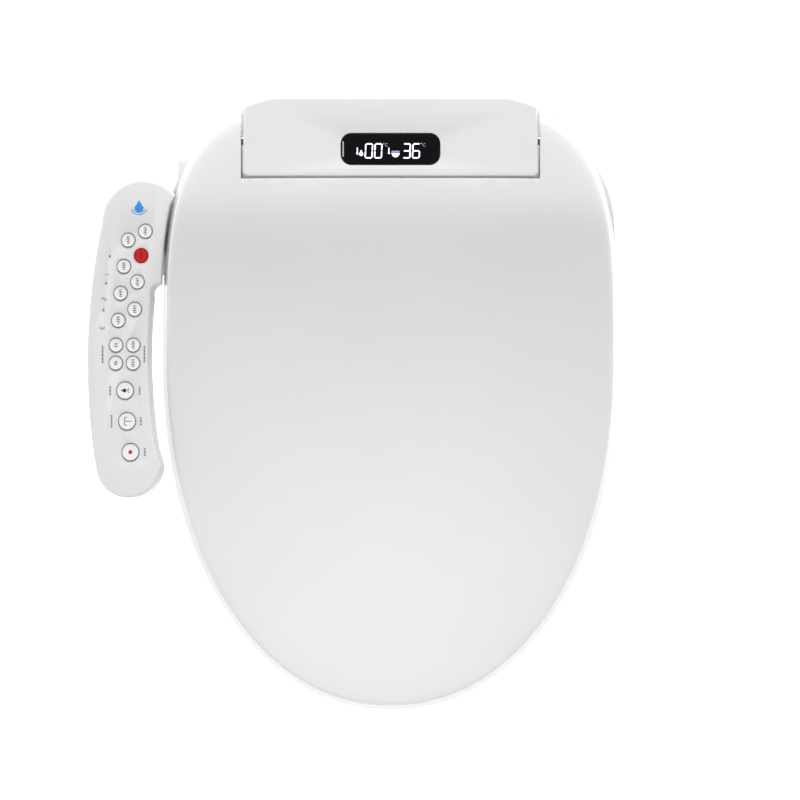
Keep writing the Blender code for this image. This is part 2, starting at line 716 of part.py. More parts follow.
def ring_shell(name, section, group):
    """Sweep a section round the seat: (share from inner to outer edge, offset, height)."""
    rings = []
    for index in range(RING_RAYS):
        angle = 2 * math.pi * (index + 0.5) / RING_RAYS
        inner = ring_hit(angle, OPENING_CENTRE_Y, inside_opening)
        outer = ring_hit(angle, OPENING_CENTRE_Y, inside_seat)
        ring = []
        for share, offset, height in section:
            radius = inner + (outer - inner) * share + offset
            x = radius * math.cos(angle)
            y = OPENING_CENTRE_Y + radius * math.sin(angle)
            ring.append((x, y, seat_plane(y) - SEAT_THICKNESS + height))
        rings.append(ring)
    return loft(name, rings, group, closed=True)


def build_seat(group, tools):
    split = 5.0
    top = SEAT_THICKNESS
    skin = 3.0
    upper = [
        (1, 0, split), (1, 0, top - 6), (1, -4, top - 1), (0.5, 0, top - 0.4),
        (0, 6, top - 3), (0, 0, top - 8), (0, 0, split),
        (0, skin, split), (0, skin + 1, top - 8), (0.5, 0, top - 3.6),
        (1, -6, top - 4.4), (1, -skin, split),
    ]
    seat_top = ring_shell("seat_top_shell", upper, group)
    lower = [
        (1, 0, 0), (1, 0, split - GAP), (1, -skin, split - GAP), (1, -skin, skin),
        (0, skin, skin), (0, skin, split - GAP), (0, 0, split - GAP), (0, 0, 0),
    ]
    seat_bottom = ring_shell("seat_bottom_shell", lower, group)
    hub = oval((AXIS_Y, AXIS_Z), SEAT_HUB_RADIUS, SEAT_HUB_RADIUS, 14,
               start=math.radians(-55), end=math.radians(125))
    foot = [(-72.0, 55.0), (-90.0, 51.5), (-90.0, 38.5), (-72.0, 40.0)]
    for side in (-1, 1):
        low, high = sorted((side * ARM_INNER_X, side * ARM_OUTER_X))
        arm = sheet(f"seat_arm_{side}", [hub + foot], low, high, tools, axis="X")
        combine(seat_bottom, "UNION", arm)
        low, high = sorted((side * (ARM_INNER_X - 1), side * (ARM_OUTER_X + 1)))
        notch = box(f"seat_notch_{side}", (low, -91, 36), (high, -70, 56.2), tools)
        combine(seat_top, "DIFFERENCE", notch)
    bore = rod("seat_bores", (-150, AXIS_Y, AXIS_Z), (150, AXIS_Y, AXIS_Z), BORE_RADIUS, tools)
    combine(seat_bottom, "DIFFERENCE", bore)
    paint(seat_top, "white_gloss")
    paint(seat_bottom, "white_satin")

    film = [(1, -22, 12.0), (1, -22, 12.8), (0, 13, 12.8), (0, 13, 12.0)]
    paint(ring_shell("seat_heater_film", film, group), "amber_film")

    places = (("front_right", -75, -405), ("front_left", 75, -405),
              ("rear_right", -152, -190), ("rear_left", 152, -190))
    for tag, x, y in places:
        reach = seat_plane(y - 9) - SEAT_THICKNESS - GAP
        bumper = bevel(rod(f"seat_bumper_{tag}", (x, y, 0), (x, y, reach), 9, group, 16, end_radius=8), 1.2, 1)
        paint(bumper, "rubber")


# ---------------------------------------------------------------- lid

def lid_form(name, inset, drop, depth, group):
    """A closed dome of the lid's outline; the inset and drop make the hollow inside it."""
    turns = [2 * math.pi * index / LID_RAYS for index in range(LID_RAYS)]

    def clipped(angle, extra, share):
        x, y = egg_point(angle, inset + extra)
        x *= share
        y = min(REAR_Y - inset, EGG_CENTRE_Y + (y - EGG_CENTRE_Y) * share)
        return x, y

    rings = []
    for share in (0.5, 1.0):
        ring = []
        for angle in turns:
            x, y = clipped(angle, 0.0, share)
            ring.append((x, y, lid_skirt(y) - depth))
        rings.append(ring)
    for share in (1.0, 0.98, 0.94, 0.86, 0.65, 0.3):
        ring = []
        for angle in turns:
            x, y = clipped(angle, LID_DRAFT, share)
            ring.append((x, y, lid_height(y, share, drop)))
        rings.append(ring)
    return loft(name, rings, group, closed=False)


def build_lid(group, tools):
    shell = lid_form("lid_shell", 0.0, 0.0, 0.0, group)
    hollow = lid_form("lid_hollow", LID_SKIN, LID_SKIN, 30.0, tools)
    combine(shell, "DIFFERENCE", hollow)
    front_edge = []
    for height in LID_CUTOUT_HEIGHTS:
        reach = math.sqrt(max(LID_CUTOUT_REACH ** 2 - max(0.0, height) ** 2, LID_CUTOUT_MIN_REACH ** 2))
        front_edge.append((AXIS_Y - reach, AXIS_Z + height))
    outline = front_edge + [(90, AXIS_Z - 60), (90, AXIS_Z + 40)]
    cutout = sheet("lid_cutout", [outline], -LID_CUTOUT_HALF_WIDTH, LID_CUTOUT_HALF_WIDTH, tools, axis="X")
    combine(shell, "DIFFERENCE", cutout)
    # Notches in the rear wall let the opening lid pass the seat's arms
    foot = [(LID_NOTCH_REAR[0], LID_NOTCH_FOOT_Z), (LID_NOTCH_FRONT[0], LID_NOTCH_FOOT_Z)]
    notch = [LID_NOTCH_FRONT, LID_NOTCH_REAR, *foot]
    for side in (-1, 1):
        low, high = sorted((side * LID_NOTCH_INNER_X, side * (ARM_OUTER_X + LID_NOTCH_MARGIN)))
        combine(shell, "DIFFERENCE", sheet(f"lid_swing_notch_{side}", [notch], low, high, tools, axis="X"))
        low, high = sorted((side * LID_HUB_INNER_X, side * LID_HUB_OUTER_X))
        hub = oval((AXIS_Y, AXIS_Z), LID_HUB_RADIUS, LID_HUB_RADIUS, 12, start=-math.pi, end=0)
        web_top = PLATE_TOP_Z + LID_WEB_RISE
        web = [(AXIS_Y + LID_HUB_RADIUS, web_top), (AXIS_Y - LID_HUB_RADIUS, web_top)]
        cheek = sheet(f"lid_hub_{side}", [hub + web], low, high, tools, axis="X")
        combine(cheek, "INTERSECT", lid_form(f"lid_middle_{side}", LID_SKIN / 2, LID_SKIN / 2, 20.0, tools))
        combine(shell, "UNION", cheek)
    bore = rod("lid_bores", (-150, AXIS_Y, AXIS_Z), (150, AXIS_Y, AXIS_Z), BORE_RADIUS, tools)
    combine(shell, "DIFFERENCE", bore)
    paint(shell, "white_gloss")

    places = (("front_right", -70, -385), ("front_left", 70, -385),
              ("rear_right", -150, -200), ("rear_left", 150, -200))
    for tag, x, y in places:
        low = seat_plane(y + 6) + 0.5
        high = lid_crown(y - 6) - LID_SKIN - 4.2
        paint(bevel(rod(f"lid_bumper_{tag}", (x, y, low), (x, y, high), 6, group, 14), 0.8, 1), "rubber")


# ---------------------------------------------------------------- control panel

def panel_outer_edge(y):
    return PANEL_OUTER_X + (y - PANEL_OUTER_MID_Y) ** 2 / (2 * PANEL_OUTER_BEND)


def panel_inner_edge(y):
    return PANEL_INNER_X + (y - PANEL_INNER_MID_Y) ** 2 / (2 * PANEL_INNER_BEND)


def to_panel(points):
    """Plan places turned into the panel's own tilted frame."""
    return [((x - PANEL_PIVOT.x) / math.cos(PANEL_TILT), y) for x, y in points]


def panel_neck_x(y):
    """The neck's inner edge, which follows the lid's outline at a small gap."""
    return -half_width(y) - PANEL_NECK_GAP


def panel_outline(inset):
    """A bent capsule with a broad neck that reaches in to the lid."""
    x, y, radius = PANEL_HEAD
    start = math.asin((PANEL_HEAD_MEET_Y - y) / radius)
    upper = oval((x, y), radius - inset, radius - inset, 10, start=start, end=math.pi)
    outer = [(panel_outer_edge(y) + inset, y) for y in spaced(-245, -62, 6)[::-1]]
    lower = oval((-219, -250), 27 - inset, 27.5 - inset, 9, start=math.pi, end=2 * math.pi)
    inner = [(panel_inner_edge(y) - inset, y) for y in spaced(-236, -112, 6)]
    corner = 9.0 + inset
    front = PANEL_NECK_FRONT_Y + inset
    end_x = panel_neck_x(PANEL_NECK_FRONT_Y) - inset
    middle = (PANEL_BEND_X, front - corner)
    bend = oval(middle, corner, corner, 5, start=math.pi, end=math.pi / 2)
    neck = [(end_x, front)]
    neck += [(panel_neck_x(y) - inset, y) for y in (-85.0, -70.0, -55.0, -40.0)]
    return to_panel(upper + outer + lower + inner + bend[1:] + neck)


def key_place(inset, y):
    return to_panel([(panel_outer_edge(y) + inset, y)])[0]


def light_places():
    places = []
    for index in range(LIGHT_COUNT):
        places.append(key_place(LIGHT_INSET, LIGHT_FIRST_Y + LIGHT_PITCH * index))
    return places


def build_panel(group, tools):
    frame = Matrix.Translation(PANEL_PIVOT * MM) @ Matrix.Rotation(-PANEL_TILT, 4, "Y")

    def settle(obj):
        obj.matrix_world = frame
        return obj

    holes = [oval(key_place(inset, y), size + KEY_GAP, size + KEY_GAP, 16) for _, inset, y, size in KEYS]
    holes += [oval(place, 1.1, 1.1, 6) for place in light_places()]
    face = sheet("panel_top_shell", [panel_outline(0.0), *holes], -PANEL_FACE, 0.0, group)
    paint(settle(face), "white_satin")

    tray = sheet("panel_bottom_shell", [panel_outline(0.0)], -PANEL_DEPTH, -PANEL_FACE - GAP, group)
    hollow = sheet("panel_hollow", [panel_outline(PANEL_WALL)], PANEL_WALL - PANEL_DEPTH, 5, tools)
    passage = box("panel_wire_passage", (-205, -70, 57.5), (-180, -50, 66), tools)
    clearances = []
    # The tray stands back from the lid and the cover along its neck
    for name, gap in (("flank", 3 * GAP), ("wall", 3 * GAP + PANEL_WALL), ("board_gap", 6 * GAP + PANEL_WALL)):
        beside = body_outline(-gap, BODY_FRONT_Y - 35, REAR_Y - 2)
        clearances.append(sheet(f"panel_{name}", [beside], 20, 110, tools))
    flank, wall, board_gap = clearances
    combine(settle(hollow), "DIFFERENCE", wall)
    combine(settle(tray), "DIFFERENCE", hollow)
    combine(tray, "DIFFERENCE", passage, flank)
    paint(bevel(tray, 2.0, 1, angle=60), "white_satin")

    board = sheet("panel_board", [panel_outline(4.0)], -12.0, -10.4, group)
    combine(settle(board), "DIFFERENCE", board_gap)
    paint(board, "board_green")

    strip_y = (LIGHT_FIRST_Y + 5, LIGHT_FIRST_Y + LIGHT_PITCH * (LIGHT_COUNT - 1) - 5)
    strip = [(panel_outer_edge(y) + LIGHT_INSET - 2, y) for y in spaced(*strip_y, 6)]
    strip += [(panel_outer_edge(y) + LIGHT_INSET + 2, y) for y in spaced(*strip_y, 6)[::-1]]
    guide = sheet("indicator_light_guide", [to_panel(strip)], -6.0, -PANEL_FACE - GAP, group)
    for index, (x, y) in enumerate(light_places()):
        peg = rod(f"light_peg_{index}", (x, y, -5), (x, y, -0.1), 0.8, tools, 8)
        combine(guide, "UNION", settle(peg))
    paint(settle(guide), "clear_plastic")

    for name, inset, y, size in KEYS:
        x, y = key_place(inset, y)
        flange_z = -PANEL_FACE - 0.9
        profile = [(0, 0.9), (size - 0.8, 0.7), (size, 0.1), (size, flange_z), (size + 0.9, flange_z),
                   (size + 0.9, -6.4), (1.2, -6.4), (1.2, -9.2), (0, -9.2)]
        place = frame @ Matrix.Translation(Vector((x, y, 0)) * MM)
        finish = "red_plastic" if name == "stop_key" else "white_satin"
        paint(turned(name, profile, group, place, 12), finish)

    arm = bevel(box("panel_arm", (-206, -92, 36), (-176, -30, 50.5), group), 3, 2)
    flank = sheet("panel_arm_flank", [body_outline(-GAP, BODY_FRONT_Y - 25, REAR_Y - 2)], 20, 70, tools)
    combine(arm, "DIFFERENCE", flank)
    paint(arm, "white_satin")


# ---------------------------------------------------------------- assembly

def hang_moving_pieces(group):
    """Stand an empty on each joint's axis and parent the moving pieces to it."""
    pieces = {obj.name: obj for obj in group.objects}

    def named(*starts):
        return [obj for name, obj in pieces.items() if name.startswith(starts)]

    axis = (0, AXIS_Y, AXIS_Z)
    seat = named("seat_top", "seat_bottom", "seat_heater", "seat_bumper")
    hang("seat_pivot", axis, seat, group)
    hang("lid_pivot", axis, named("lid_shell", "lid_bumper"), group)
    for tag, x in (("rear", -NOZZLE_X), ("front", NOZZLE_X)):
        wand = [pieces[f"{tag}_nozzle"], pieces[f"{tag}_nozzle_tip"]]
        hang(f"{tag}_nozzle_slide", slope_point(0, x), wand, group)
    hang("dryer_flap_pivot", (DRYER_X, BODY_FRONT_Y + 1.2, DRYER_HINGE_Z), named("dryer_flap"), group)
    hang("blower_wheel_pivot", (DRYER_X, 0, BLOWER_Z), named("blower_wheel"), group)
    hang("release_slide", (-168, -2.5, 43), named("quick_release"), group)


def main():
    clear_scene()
    for name in FINISHES:
        make_material(name)
    parts = new_group("electric_bidet_seat")
    tools = new_group("cutters")
    build_base_case(parts, tools)
    build_body_cover(parts, tools)
    build_top_plate(parts, tools)
    build_display(parts)
    build_docking_plate(parts)
    build_hinge_pins(parts)
    build_release_button(parts, tools)
    build_nozzles(parts, tools)
    build_dryer(parts, tools)
    build_dryer_flap(parts)
    build_inside(parts)
    build_seat(parts, tools)
    build_lid(parts, tools)
    build_panel(parts, tools)
    hang_moving_pieces(parts)


main()
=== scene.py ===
"""Looks of the electric bidet seat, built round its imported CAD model."""
import json
import math

import bmesh
import bpy
from mathutils import Matrix, Vector


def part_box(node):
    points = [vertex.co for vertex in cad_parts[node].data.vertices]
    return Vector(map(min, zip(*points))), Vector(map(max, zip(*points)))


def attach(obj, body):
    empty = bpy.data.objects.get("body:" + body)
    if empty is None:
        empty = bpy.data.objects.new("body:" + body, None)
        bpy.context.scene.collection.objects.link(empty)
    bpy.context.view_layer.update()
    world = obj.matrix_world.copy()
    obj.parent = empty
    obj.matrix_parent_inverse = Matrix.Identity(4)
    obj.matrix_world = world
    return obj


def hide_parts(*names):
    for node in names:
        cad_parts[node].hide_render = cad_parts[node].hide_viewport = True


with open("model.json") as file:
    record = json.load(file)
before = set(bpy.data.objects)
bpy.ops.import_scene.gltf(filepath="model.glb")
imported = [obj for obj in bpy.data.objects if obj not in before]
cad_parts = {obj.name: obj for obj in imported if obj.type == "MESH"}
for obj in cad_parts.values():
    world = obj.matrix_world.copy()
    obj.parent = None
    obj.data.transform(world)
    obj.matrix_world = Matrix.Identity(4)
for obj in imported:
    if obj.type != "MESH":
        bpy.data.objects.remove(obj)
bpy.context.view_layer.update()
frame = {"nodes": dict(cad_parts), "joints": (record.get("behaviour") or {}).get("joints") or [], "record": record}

JOINTS = {joint["name"]: joint for joint in frame["joints"]}
BODY_OF = {node: body for body, nodes in frame["record"]["behaviour"]["bodies"].items() for node in nodes}
SLOT_OF = {row["node"]: row["material_slot"] for row in frame["record"]["subparts"]}

# Every length below is in millimetres and is scaled where a mesh is made.
MM = 0.001


def node_box(name):
    """The lowest and highest corner of a CAD node, in millimetres."""
    low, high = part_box(name)
    return low / MM, high / MM


LID_LOW, LID_HIGH = node_box("lid_shell")
PLATE_LOW, PLATE_HIGH = node_box("top_plate")
LENS_LOW, LENS_HIGH = node_box("display_lens")
BASE_LOW, BASE_HIGH = node_box("base_case")
_, AXIS_Y, AXIS_Z = (part / MM for part in JOINTS["lid_hinge"]["pos_m"])
LENS_MIDDLE = (LENS_LOW + LENS_HIGH) / 2
LENS_SIZE = LENS_HIGH - LENS_LOW

# Plan outline: an egg made of two superellipses that share a centre line
HALF_WIDTH = LID_HIGH.x
FRONT_Y = LID_LOW.y
REAR_Y = PLATE_HIGH.y
EGG_CENTRE_Y = -165.0
FRONT_REACH = EGG_CENTRE_Y - FRONT_Y
FRONT_POWER = 2.1
REAR_REACH = 226.0
REAR_POWER = 3.6

# Seat ring and lid heights
SEAT_THICKNESS = 22.0
SEAT_REAR_Y = -78.0
SEAT_FRONT_TOP = 34.0
SEAT_REAR_TOP = 60.0
SEAT_INSET = 1.0
SEAT_REAR_POWER = 5.0
OPENING_CENTRE_Y = -262.0
OPENING_HALF_WIDTH = 108.0
OPENING_HALF_LENGTH = 148.0
OPENING_POWER = 2.2
SEAT_SPLIT = 5.0
PLATE_TOP_Z = PLATE_HIGH.z
LID_RIDGE_Y = -40.0
LID_FRONT_HEIGHT = 16.0
LID_FALL_POWER = 3.4
LID_ROUNDING = 0.0016
FLANK_BULGE = 3.0
LID_CROWN_POWER = 7.0
LID_EDGE_DROP = 7.0
LID_REAR_DROP = 12.0
LID_DRAFT = 3.5
LID_SKIN = 3.0
LID_CLEARANCE = 2.0
LID_SKIRT_REACH = 38.0
LID_CUTOUT_HALF_WIDTH = 124.1
LID_CUTOUT_REACH = 41.6
LID_CUTOUT_MIN_REACH = 31.6
LID_CUTOUT_HEIGHTS = (40.0, 27.0, 20.0, 0.0, -60.0)
LID_NOTCH = ((22.0, 114.0), (50.0, 72.5), (50.0, 40.0), (22.0, 40.0))
LID_NOTCH_SIDES = (110.0, 137.5)
LID_RAYS = 200
HUB_RADIUS = 8.0
BORE_RADIUS = 4.3
BORE_REACH = 150.0
LID_HUB_SIDES = (138.0, 146.0)
ARM_SIDES = (124.0, 136.0)
RING_RAYS = 176


# ---------------------------------------------------------------- mesh helpers

def add_mesh(name, bm, recalc=True):
    if recalc:
        bmesh.ops.recalc_face_normals(bm, faces=bm.faces)
    mesh = bpy.data.meshes.new(name)
    bm.to_mesh(mesh)
    bm.free()
    obj = bpy.data.objects.new(name, mesh)
    bpy.context.scene.collection.objects.link(obj)
    return obj


def smooth(obj, crease=34):
    obj.data.shade_smooth()
    obj.data.set_sharp_from_angle(angle=math.radians(crease))
    return obj


def loft(name, rings, closed=False, cap=True):
    """Skin a list of point rings; closed joins the last ring to the first."""
    bm = bmesh.new()
    layers = [[bm.verts.new(Vector(point) * MM) for point in ring] for ring in rings]
    pairs = list(zip(layers, layers[1:]))
    if closed:
        pairs.append((layers[-1], layers[0]))
    for lower, upper in pairs:
        for index in range(len(lower)):
            following = (index + 1) % len(lower)
            bm.faces.new((lower[index], lower[following], upper[following], upper[index]))
    if cap and not closed:
        bm.faces.new(list(reversed(layers[0])))
        bm.faces.new(layers[-1])
    return add_mesh(name, bm)


def prism(name, outline, low, high, axis="Z"):
    """A flat outline extruded between two levels along an axis."""
    def place(u, v, w):
        return {"Z": (u, v, w), "X": (w, u, v), "Y": (u, w, v)}[axis]

    rings = [[place(u, v, level) for u, v in outline] for level in (low, high)]
    return loft(name, rings)


def box(name, low, high):
    corners = [(low[0], low[1]), (high[0], low[1]), (high[0], high[1]), (low[0], high[1])]
    return prism(name, corners, low[2], high[2])


def rod(name, start, end, radius, segments=40):
    start = Vector(start)
    end = Vector(end)
    along = end - start
    spin = Vector((0, 0, 1)).rotation_difference(along.normalized()).to_matrix().to_4x4()
    bm = bmesh.new()
    place = Matrix.Translation((start + end) / 2 * MM) @ spin
    bmesh.ops.create_cone(bm, cap_ends=True, segments=segments, radius1=radius * MM, radius2=radius * MM,
                          depth=along.length * MM, matrix=place)
    return add_mesh(name, bm)


def hinge_bore(reach):
    return rod("bore", (-reach, AXIS_Y, AXIS_Z), (reach, AXIS_Y, AXIS_Z), BORE_RADIUS)


def combine(target, operation, *tools):
    """Cut or join tool objects into a target for good, and drop the tools."""
    for tool in tools:
        modifier = target.modifiers.new("combine", "BOOLEAN")
        modifier.operation = operation
        modifier.solver = "EXACT"
        modifier.object = tool
    bake_modifiers(target)
    for tool in tools:
        bpy.data.objects.remove(tool, do_unlink=True)
    return target


def cut(target, *tools):
    return combine(target, "DIFFERENCE", *tools)


def unite(target, *tools):
    return combine(target, "UNION", *tools)


def bake_modifiers(obj):
    """Turn an object's modifiers into its mesh."""
    bpy.context.view_layer.update()
    evaluated = obj.evaluated_get(bpy.context.evaluated_depsgraph_get())
    mesh = bpy.data.meshes.new_from_object(evaluated)
    obj.modifiers.clear()
    obj.data = mesh
    return obj


def soften(obj, width, segments=3, angle=38):
    """Round the edges sharper than an angle."""
    modifier = obj.modifiers.new("soft edges", "BEVEL")
    modifier.width = width * MM
    modifier.segments = segments
    modifier.limit_method = "ANGLE"
    modifier.angle_limit = math.radians(angle)
    return bake_modifiers(obj)


def quarter_turn(steps, first=0):
    """The cosine and sine at even steps through a right angle."""
    turns = [step / steps * math.pi / 2 for step in range(first, steps + 1)]
    return [(math.cos(turn), math.sin(turn)) for turn in turns]


def signed_power(value, power):
    return math.copysign(abs(value) ** power, value)


def oval(centre, radius_x, radius_y, count, power=2.0, start=0.0, end=2 * math.pi):
    full = abs(end - start - 2 * math.pi) < 1e-6
    steps = count if full else count - 1
    points = []
    for index in range(count):
        angle = start + (end - start) * index / steps
        x = centre[0] + radius_x * signed_power(math.cos(angle), 2 / power)
        y = centre[1] + radius_y * signed_power(math.sin(angle), 2 / power)
        points.append((x, y))
    return points


def rounded_rectangle(centre, width, depth, corner, count=9):
    points = []
    for quarter in range(4):
        angle = quarter * math.pi / 2
        side_x = 1 if quarter in (0, 3) else -1
        side_y = 1 if quarter in (0, 1) else -1
        middle = (centre[0] + side_x * (width / 2 - corner), centre[1] + side_y * (depth / 2 - corner))
        points += oval(middle, corner, corner, count, start=angle, end=angle + math.pi / 2)
    return points


def spaced(start, end, count):
    return [start + (end - start) * math.sin(step / (count - 1) * math.pi / 2) for step in range(count)]


def mirrored(right_side):
    return right_side + [(-x, y) for x, y in reversed(right_side)]


# ---------------------------------------------------------------- shared shapes

def egg_point(angle, inset=0.0):
    rear = math.sin(angle) >= 0
    reach = REAR_REACH if rear else FRONT_REACH
    power = REAR_POWER if rear else FRONT_POWER
    x = (HALF_WIDTH - inset) * signed_power(math.cos(angle), 2 / power)
    y = EGG_CENTRE_Y + (reach - inset) * signed_power(math.sin(angle), 2 / power)
    return x, y


def half_width(y, inset=0.0):
    rear = y >= EGG_CENTRE_Y
    reach = (REAR_REACH if rear else FRONT_REACH) - inset
    power = REAR_POWER if rear else FRONT_POWER
    share = min(1.0, abs(y - EGG_CENTRE_Y) / reach)
    return (HALF_WIDTH - inset) * (1 - share ** power) ** (1 / power)


def rear_edge_y(x, inset=0.0):
    share = x / (HALF_WIDTH - inset)
    return EGG_CENTRE_Y + (REAR_REACH - inset) * (1 - share ** REAR_POWER) ** (1 / REAR_POWER)


def seat_plane(y):
    share = (y - FRONT_Y) / (SEAT_REAR_Y - FRONT_Y)
    return SEAT_FRONT_TOP + (SEAT_REAR_TOP - SEAT_FRONT_TOP) * share


def lid_skirt(y):
    if y > AXIS_Y:
        return AXIS_Z - math.sqrt(LID_SKIRT_REACH ** 2 - (y - AXIS_Y) ** 2)
    return min(seat_plane(y), SEAT_REAR_TOP) + LID_CLEARANCE


def lid_crown(y):
    share = (LID_RIDGE_Y - y) / (LID_RIDGE_Y - FRONT_Y)
    share = (share + math.sqrt(share ** 2 + LID_ROUNDING)) / 2
    place = LID_RIDGE_Y - (LID_RIDGE_Y - FRONT_Y) * share
    rise = PLATE_TOP_Z - seat_plane(LID_RIDGE_Y) - LID_FRONT_HEIGHT
    return seat_plane(place) + LID_FRONT_HEIGHT + rise * max(0.0, 1 - share) ** LID_FALL_POWER


def lid_edge(y):
    return lid_crown(y) - LID_EDGE_DROP - LID_REAR_DROP * ((y - FRONT_Y) / -FRONT_Y) ** 1.5


def lid_height(y, share, drop):
    crown = lid_crown(y) - drop
    edge = lid_edge(y) - drop
    return edge + (crown - edge) * max(0.0, 1 - share ** LID_CROWN_POWER) ** (1 / LID_CROWN_POWER)


# ---------------------------------------------------------------- lid

def lid_form(name, inset, drop, depth):
    """A closed dome of the lid's outline; the inset and drop make the hollow inside it."""
    turns = [2 * math.pi * index / LID_RAYS for index in range(LID_RAYS)]

    def clipped(angle, extra, share):
        x, y = egg_point(angle, inset + extra)
        y = min(REAR_Y - inset, EGG_CENTRE_Y + (y - EGG_CENTRE_Y) * share)
        return x * share, y

    rings = []
    for share in (0.5, 1.0):
        points = [clipped(angle, 0.0, share) for angle in turns]
        rings.append([(x, y, lid_skirt(y) - depth) for x, y in points])
    for part in (0.25, 0.5, 0.75):
        points = [clipped(angle, LID_DRAFT * part, 1.0) for angle in turns]
        rings.append([(x, y, lid_skirt(y) + (lid_edge(y) - drop - lid_skirt(y)) * part) for x, y in points])
    steps = 22
    for index in range(steps + 1):
        share = math.cos(index / steps * math.pi / 2) ** 0.45 if index < steps else 0.04
        points = [clipped(angle, LID_DRAFT, share) for angle in turns]
        rings.append([(x, y, lid_height(y, share, drop)) for x, y in points])
    return loft(name, rings)


def make_lid():
    """The lid: a thin dome with a deep cut-out round the rear body and a hub on each ear."""
    shell = lid_form("lid", 0.0, 0.0, 0.0)
    cut(shell, lid_form("hollow", LID_SKIN, LID_SKIN, 30.0))
    front_edge = []
    for height in LID_CUTOUT_HEIGHTS:
        reach = math.sqrt(max(LID_CUTOUT_REACH ** 2 - max(0.0, height) ** 2, LID_CUTOUT_MIN_REACH ** 2))
        front_edge.append((AXIS_Y - reach, AXIS_Z + height))
    outline = front_edge + [(90, AXIS_Z - 60), (90, AXIS_Z + 40)]
    cutout = prism("cutout", outline, -LID_CUTOUT_HALF_WIDTH, LID_CUTOUT_HALF_WIDTH, "X")
    cut(shell, cutout)
    for side in (-1, 1):
        low, high = sorted(side * edge for edge in LID_NOTCH_SIDES)
        cut(shell, prism("notch", LID_NOTCH, low, high, "X"))
    soften(shell, 0.5, 2, 55)
    for side in (-1, 1):
        low, high = sorted(side * edge for edge in LID_HUB_SIDES)
        hub = oval((AXIS_Y, AXIS_Z), HUB_RADIUS, HUB_RADIUS, 30, start=-math.pi, end=0)
        web = [(AXIS_Y + HUB_RADIUS, PLATE_TOP_Z + 10), (AXIS_Y - HUB_RADIUS, PLATE_TOP_Z + 10)]
        cheek = prism("hub", hub + web, low, high, "X")
        combine(cheek, "INTERSECT", lid_form("middle", LID_SKIN / 2, LID_SKIN / 2, 20.0))
        unite(shell, cheek)
    cut(shell, hinge_bore(BORE_REACH))
    return smooth(shell, 30)


# ---------------------------------------------------------------- seat ring

def ring_hit(angle, inside):
    near, far = 0.0, 400.0
    for _ in range(40):
        middle = (near + far) / 2
        if inside(middle * math.cos(angle), OPENING_CENTRE_Y + middle * math.sin(angle)):
            near = middle
        else:
            far = middle
    return near


def inside_seat(x, y):
    rear = y >= EGG_CENTRE_Y
    reach = (SEAT_REAR_Y - EGG_CENTRE_Y) if rear else FRONT_REACH - SEAT_INSET
    power = SEAT_REAR_POWER if rear else FRONT_POWER
    across = abs(x) / (HALF_WIDTH - SEAT_INSET)
    return across ** power + (abs(y - EGG_CENTRE_Y) / reach) ** power < 1


def inside_opening(x, y):
    across = abs(x) / OPENING_HALF_WIDTH
    along = abs(y - OPENING_CENTRE_Y) / OPENING_HALF_LENGTH
    return across ** OPENING_POWER + along ** OPENING_POWER < 1


RING_SPANS = []
for ray in range(RING_RAYS):
    turn = 2 * math.pi * (ray + 0.5) / RING_RAYS
    RING_SPANS.append((turn, ring_hit(turn, inside_opening), ring_hit(turn, inside_seat)))


def ring_shell(name, section):
    """Sweep a section round the seat: (share from inner to outer edge, offset, height)."""
    rings = []
    for angle, inner, outer in RING_SPANS:
        ring = []
        for share, offset, height in section:
            radius = inner + (outer - inner) * share + offset
            x = radius * math.cos(angle)
            y = OPENING_CENTRE_Y + radius * math.sin(angle)
            ring.append((x, y, seat_plane(y) - SEAT_THICKNESS + height))
        rings.append(ring)
    return loft(name, rings, closed=True)


def make_seat():
    """The seat ring's crowned top shell, and its bottom shell with the two hinge arms."""
    top = SEAT_THICKNESS
    split = SEAT_SPLIT
    upper = [(1, -0.5, split), (1, 0, split + 0.6)]
    upper += [(1, 0, split + part * (top - 6 - split)) for part in (0.4, 0.7, 1.0)]
    upper += [(1, -7 * (1 - cosine), top - 6 + 5.4 * sine) for cosine, sine in quarter_turn(8, 1)]
    upper += [(0.8, 0, top - 0.35), (0.6, 0, top - 0.3), (0.4, 0, top - 0.8), (0.22, 0, top - 1.8)]
    upper += [(0, 7 * (1 - sine), top - 9 + 6 * cosine) for cosine, sine in quarter_turn(7)]
    upper += [(0, 0, split + 0.6), (0, 0.5, split), (0, 3, split), (0, 4, top - 9), (0.5, 0, top - 4),
              (1, -8, top - 4.4), (1, -4, top - 8), (1, -3, split)]
    seat_top = ring_shell("seat_ring", upper)

    lower = [(1, -1.5 * (1 - sine), 1.5 - 1.5 * cosine) for cosine, sine in quarter_turn(5)]
    lower += [(1, 0, split - 0.9), (1, -0.5, split - 0.35), (1, -3, split - 0.35), (1, -3, 3),
              (0, 3, 3), (0, 3, split - 0.35), (0, 0.5, split - 0.35), (0, 0, split - 0.9)]
    lower += [(0, 1.5 * (1 - cosine), 1.5 - 1.5 * sine) for cosine, sine in quarter_turn(5)]
    # A shallow channel runs all round the underside
    lower += [(0.12, 0, 0), (0.14, 0, 0.9), (0.86, 0, 0.9), (0.88, 0, 0)]
    seat_bottom = ring_shell("seat_pan", lower)

    hub = oval((AXIS_Y, AXIS_Z), HUB_RADIUS, HUB_RADIUS, 30, start=math.radians(-55), end=math.radians(125))
    foot = [(-72.0, 55.0), (-90.0, 51.5), (-90.0, 38.5), (-72.0, 40.0)]
    for side in (-1, 1):
        low, high = sorted(side * edge for edge in ARM_SIDES)
        arm = soften(prism("arm", hub + foot, low, high, "X"), 1.0, 3, 50)
        unite(seat_bottom, arm)
        low, high = sorted((side * 123, side * 137))
        cut(seat_top, box("notch", (low, -91, 36), (high, -70, 56.2)))
    cut(seat_bottom, hinge_bore(BORE_REACH))
    return smooth(seat_top, 30), smooth(seat_bottom, 30)


